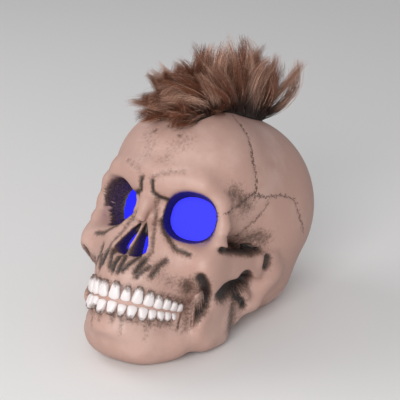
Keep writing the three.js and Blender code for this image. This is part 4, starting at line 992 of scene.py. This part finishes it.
s_grid, t_grid = np.meshgrid(
    np.linspace(0, 1, sheet_rows),
    np.linspace(-1, 1, sheet_columns),
    indexing="ij",
)
sheet_points = on_strip(s_grid, t_grid, cloth_height - side_drop * np.abs(t_grid) ** 12)
row, column = np.meshgrid(np.arange(sheet_rows - 1), np.arange(sheet_columns - 1), indexing="ij")
a = row * sheet_columns + column
b = a + sheet_columns
sheet_quads = np.stack([a, b, b + 1, a + 1], -1).reshape(-1, 4)
cloth_finish, shader = new_material("fur_backing_cloth")
threads = {"Tone A": (0.045, 0.026, 0.018, 1), "Tone B": (0.018, 0.010, 0.008, 1), "Scale": 1500.0}
weave = lay(cloth_finish.node_tree, two_tone, threads)
feed(shader, {"Base Color": weave["Color"], "Roughness": 0.95})
backing = new_piece("fur_strip", on_ground(sheet_points).reshape(-1, 3), [sheet_quads], cloth_finish)
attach(backing, "skull")
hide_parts("fur_backing")

# Fur pile: long acrylic fibres woven into the backing, dark at the root, brown, and blond on some.
# They stand in locks whose strands start close together and meet at a tip. The locks sweep forward
# over the forehead, stand up in the middle and lean back behind the crown.
crest = np.array([(-124, 88), (-108, 108), (-80, 134), (-28, 159), (26, 166), (66, 170)], float)
root_height = 1.2
root_scatter_s = 0.026
root_scatter_t = 0.17
lock_edge = 0.85
lock_lengths = (0.72, 1.16)
side_shorter = 0.3
side_scatter = 5
reach_scatter = 0.07
front_width_share = 0.45
front_fade = (0.05, 0.4)
middle_droop_share = 0.4
curl_reach = np.array([9, 12, 8])
curl_length = 60
strand_lengths = (0.72, 1.03)
tip_scatter = 1.5
root_share = 0.2
bend_share = 0.42
bulge_share = 0.20
bend_scatter = 1.6
tip_thinning = 0.8
least_height = 0.8
thick_range = (0.75, 1.25)
stray_share = 0.1
stray_tint = 0.7
lock_tints = (0.6, 1)
strand_tints = (-0.1, 1.1)
steps_along = 7
ring_around = 3
cross_way = np.array([0.3, 0.2, 1.0])

fur_finish, shader = new_material("fur_pile")
tree = fur_finish.node_tree
along = point_mask(tree, "along")
fibre = lay(tree, broken_paint, {
    "Under": (0.022, 0.009, 0.006, 1), "Paint": (0.22, 0.076, 0.038, 1), "Mask": along,
    "Ragged": 0.0, "Start": 0.08, "Full": 0.7,
})
light = sums(tree, "MULTIPLY", point_mask(tree, "blond"), band(tree, along, 0.1, 0.5))
colour = mixed(tree, light, fibre["Color"], (0.85, 0.54, 0.40, 1))
feed(shader, {"Base Color": colour, "Roughness": 0.42})


def lock_tips(chance, lock_s, lock_t, length_share, spread, droop):
    """Where the locks end: a place on the crest over each, spread sideways, drawn in to its length."""
    locks = len(lock_s)
    reach = np.clip(lock_s + chance.normal(0, reach_scatter, locks), 0, 1)
    where = reach * (len(crest) - 1)
    tip_y = np.interp(where, np.arange(len(crest)), crest[:, 0])
    tip_z = np.interp(where, np.arange(len(crest)), crest[:, 1])
    wide = front_width_share + (1 - front_width_share) * fade(reach, *front_fade)
    side = lock_t * spread * wide + chance.normal(0, side_scatter, locks)
    low = droop * (middle_droop_share + (1 - middle_droop_share) * np.abs(lock_t))
    tips = np.stack([side, tip_y, tip_z - low], -1)
    tall = length_share * chance.uniform(*lock_lengths, locks) * (1 - side_shorter * np.abs(lock_t) ** 2)
    roots = on_strip(lock_s, lock_t, root_height)
    return roots, roots + (tips - roots) * tall[:, None]


def bars_along(line, radius):
    """Three-sided bars about many lines: a ring of points at each step, square to its heading."""
    heading = np.gradient(line, axis=1)
    heading /= np.linalg.norm(heading, axis=-1, keepdims=True) + 1e-9
    aside = np.cross(heading, cross_way)
    aside /= np.linalg.norm(aside, axis=-1, keepdims=True) + 1e-9
    over = np.cross(heading, aside)
    turn = np.arange(ring_around) * 2 * math.pi / ring_around
    ring = aside[:, :, None] * np.cos(turn)[:, None] + over[:, :, None] * np.sin(turn)[:, None]
    points = line[:, :, None] + ring * radius[:, :, None, None]
    first = np.arange(len(line))[:, None, None] * steps_along * ring_around
    return points, (first + ring_faces(steps_along, ring_around)[None]).reshape(-1, 4)


def pile(name, count, locks, length_share, blond_share, spread, thick, seed, extent=1.0, droop=0):
    """Strands in locks, over an extent of the strip from its front. Each strand is a quadratic curve
    from its root by a bend to near its lock's tip, kept off the head, and thins towards its tip."""
    chance = np.random.default_rng(seed)
    lock_s = (np.arange(locks) + chance.random(locks)) / locks * extent
    lock_t = chance.uniform(-lock_edge, lock_edge, locks)
    own = chance.integers(0, locks, count)
    s = np.clip(lock_s[own] + chance.normal(0, root_scatter_s, count), 0, 1)
    t = np.clip(lock_t[own] + chance.normal(0, root_scatter_t, count), -1, 1)
    normal = strip_line(s, t)
    roots = on_strip(s, t, root_height)
    lock_roots, lock_ends = lock_tips(chance, lock_s, lock_t, length_share, spread, droop)
    curl = chance.normal(0, 1, (locks, 3)) * curl_reach
    apart = (roots - lock_roots[own]) * root_share
    tips = lock_ends[own] + chance.normal(0, tip_scatter, (count, 3)) + apart
    tips = roots + (tips - roots) * chance.uniform(*strand_lengths, count)[:, None]
    way = tips - roots
    far = np.linalg.norm(way, axis=-1, keepdims=True)
    bend = roots + way * bend_share + normal * far * bulge_share + curl[own] * (far / curl_length)
    bend = bend + chance.normal(0, bend_scatter, (count, 3))
    share = np.linspace(0, 1, steps_along)[None, :, None]
    line = roots[:, None] * (1 - share) ** 2 + tips[:, None] * share ** 2
    line = line + bend[:, None] * 2 * share * (1 - share)
    line = line + normal[:, None] * np.maximum(least_height - plain_head(line), 0)[..., None]
    taper = 1 - tip_thinning * share[..., 0] ** 1.5
    points, quads = bars_along(line, thick * taper * chance.uniform(*thick_range, count)[:, None])
    lock_blond = (chance.random(locks) < blond_share) * chance.uniform(*lock_tints, locks)
    stray = (chance.random(count) < stray_share) * stray_tint
    tint = np.clip(lock_blond[own] * chance.uniform(*strand_tints, count) + stray, 0, 1)
    up_strand = np.repeat(np.broadcast_to(share[..., 0], (count, steps_along)), ring_around, axis=1)
    masks = {"along": up_strand, "blond": np.repeat(tint, steps_along * ring_around)}
    piece = new_piece(name, on_ground(points).reshape(-1, 3), [quads], fur_finish, masks)
    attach(piece, "skull")
    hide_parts("fur_pile")


pile("under_fur", 5000, 260, length_share=0.34, blond_share=0.0, spread=20, thick=0.24, seed=3)
pile("fur_locks_1", 5200, 44, length_share=1.06, blond_share=0.35, spread=24, thick=0.18, seed=11)
pile("fur_locks_2", 5200, 44, length_share=1.0, blond_share=0.5, spread=30, thick=0.17, seed=12)
pile("fur_locks_3", 5200, 50, length_share=0.86, blond_share=0.4, spread=36, thick=0.17, seed=13)
pile(
    "fur_fringe", 4200, 64, length_share=0.55, blond_share=0.25, spread=66, thick=0.17, seed=14,
    extent=0.42, droop=26,
)

# Base plate and battery door: two mouldings of dark plastic. Four plated steel screws hold the plate
# to bosses in the casting, and the door slides in grooves on the plate's underside.
wear = 0.3


def plain_finish(name, tone_a, tone_b, roughness, metallic=0.0, scale=300.0):
    """A material of two tones, clouded into one another at a scale in cycles a metre. The cloud also
    makes it a little rougher in places."""
    material, shader = new_material(name)
    tree = material.node_tree
    tones = lay(tree, two_tone, {"Tone A": (*tone_a, 1), "Tone B": (*tone_b, 1), "Scale": scale})
    worn = sums(tree, "MULTIPLY_ADD", tones["Cloud"], wear, roughness - wear / 2)
    feed(shader, {"Base Color": tones["Color"], "Roughness": worn, "Metallic": metallic})
    return material


base_plastic = plain_finish("base_plastic", (0.022, 0.020, 0.019), (0.032, 0.030, 0.028), 0.55, 0, 900)
plated_steel = plain_finish("plated_steel", (0.55, 0.56, 0.58), (0.45, 0.46, 0.48), 0.32, 1, 500)
dress(base_plastic, "base_plate", "battery_door")
dress(plated_steel, "base_screw")

# Slide switch: a folded steel body on the underside of the board, and a white plastic knob that
# reaches down through the slot in the base plate.
knob_plastic = plain_finish("knob_plastic", (0.7, 0.68, 0.63), (0.64, 0.62, 0.57), 0.42)
dress(plated_steel, "switch_body")
dress(knob_plastic, "switch_knob")

# Cells: three in green sleeves, side by side in the plate's box, between springy contacts of plated
# steel. A red and a black insulated lead run from the outer contacts to the board.
cell_jacket = plain_finish("cell_jacket", (0.03, 0.16, 0.06), (0.04, 0.2, 0.08), 0.35)
red_lead = plain_finish("red_lead", (0.45, 0.02, 0.015), (0.38, 0.015, 0.012), 0.45)
black_lead = plain_finish("black_lead", (0.008, 0.008, 0.008), (0.014, 0.014, 0.014), 0.45)
dress(cell_jacket, "cell_1", "cell_2", "cell_3")
dress(plated_steel, "contact")
dress(red_lead, "cell_lead_red")
dress(black_lead, "cell_lead_black")

# Circuit board: green laminate, screwed to two posts on the plate, with a drop of black resin over
# its chip and three tan resistors.
board_green = plain_finish("board_green", (0.012, 0.13, 0.04), (0.02, 0.17, 0.06), 0.4, 0, 700)
chip_resin = plain_finish("chip_resin", (0.006, 0.006, 0.007), (0.012, 0.012, 0.013), 0.3)
resistor_body = plain_finish("resistor_body", (0.55, 0.38, 0.19), (0.45, 0.3, 0.15), 0.5, 0, 900)
dress(board_green, "circuit_board")
dress(plated_steel, "board_screw")
dress(chip_resin, "chip")
dress(resistor_body, "resistor")

# Lamps: three blue ones, each gripped in the neck of a white plastic holder that stands behind a
# lens, with a black lead to the board.
white_plastic = plain_finish("white_plastic", (0.78, 0.76, 0.72), (0.7, 0.68, 0.63), 0.45)
blue_lamp = plain_finish("blue_lamp", (0.1, 0.12, 0.9), (0.14, 0.16, 0.95), 0.15)
dress(white_plastic, "lamp_holder")
dress(blue_lamp, "lamp_left", "lamp_right", "lamp_nose")
dress(black_lead, "lamp_lead")
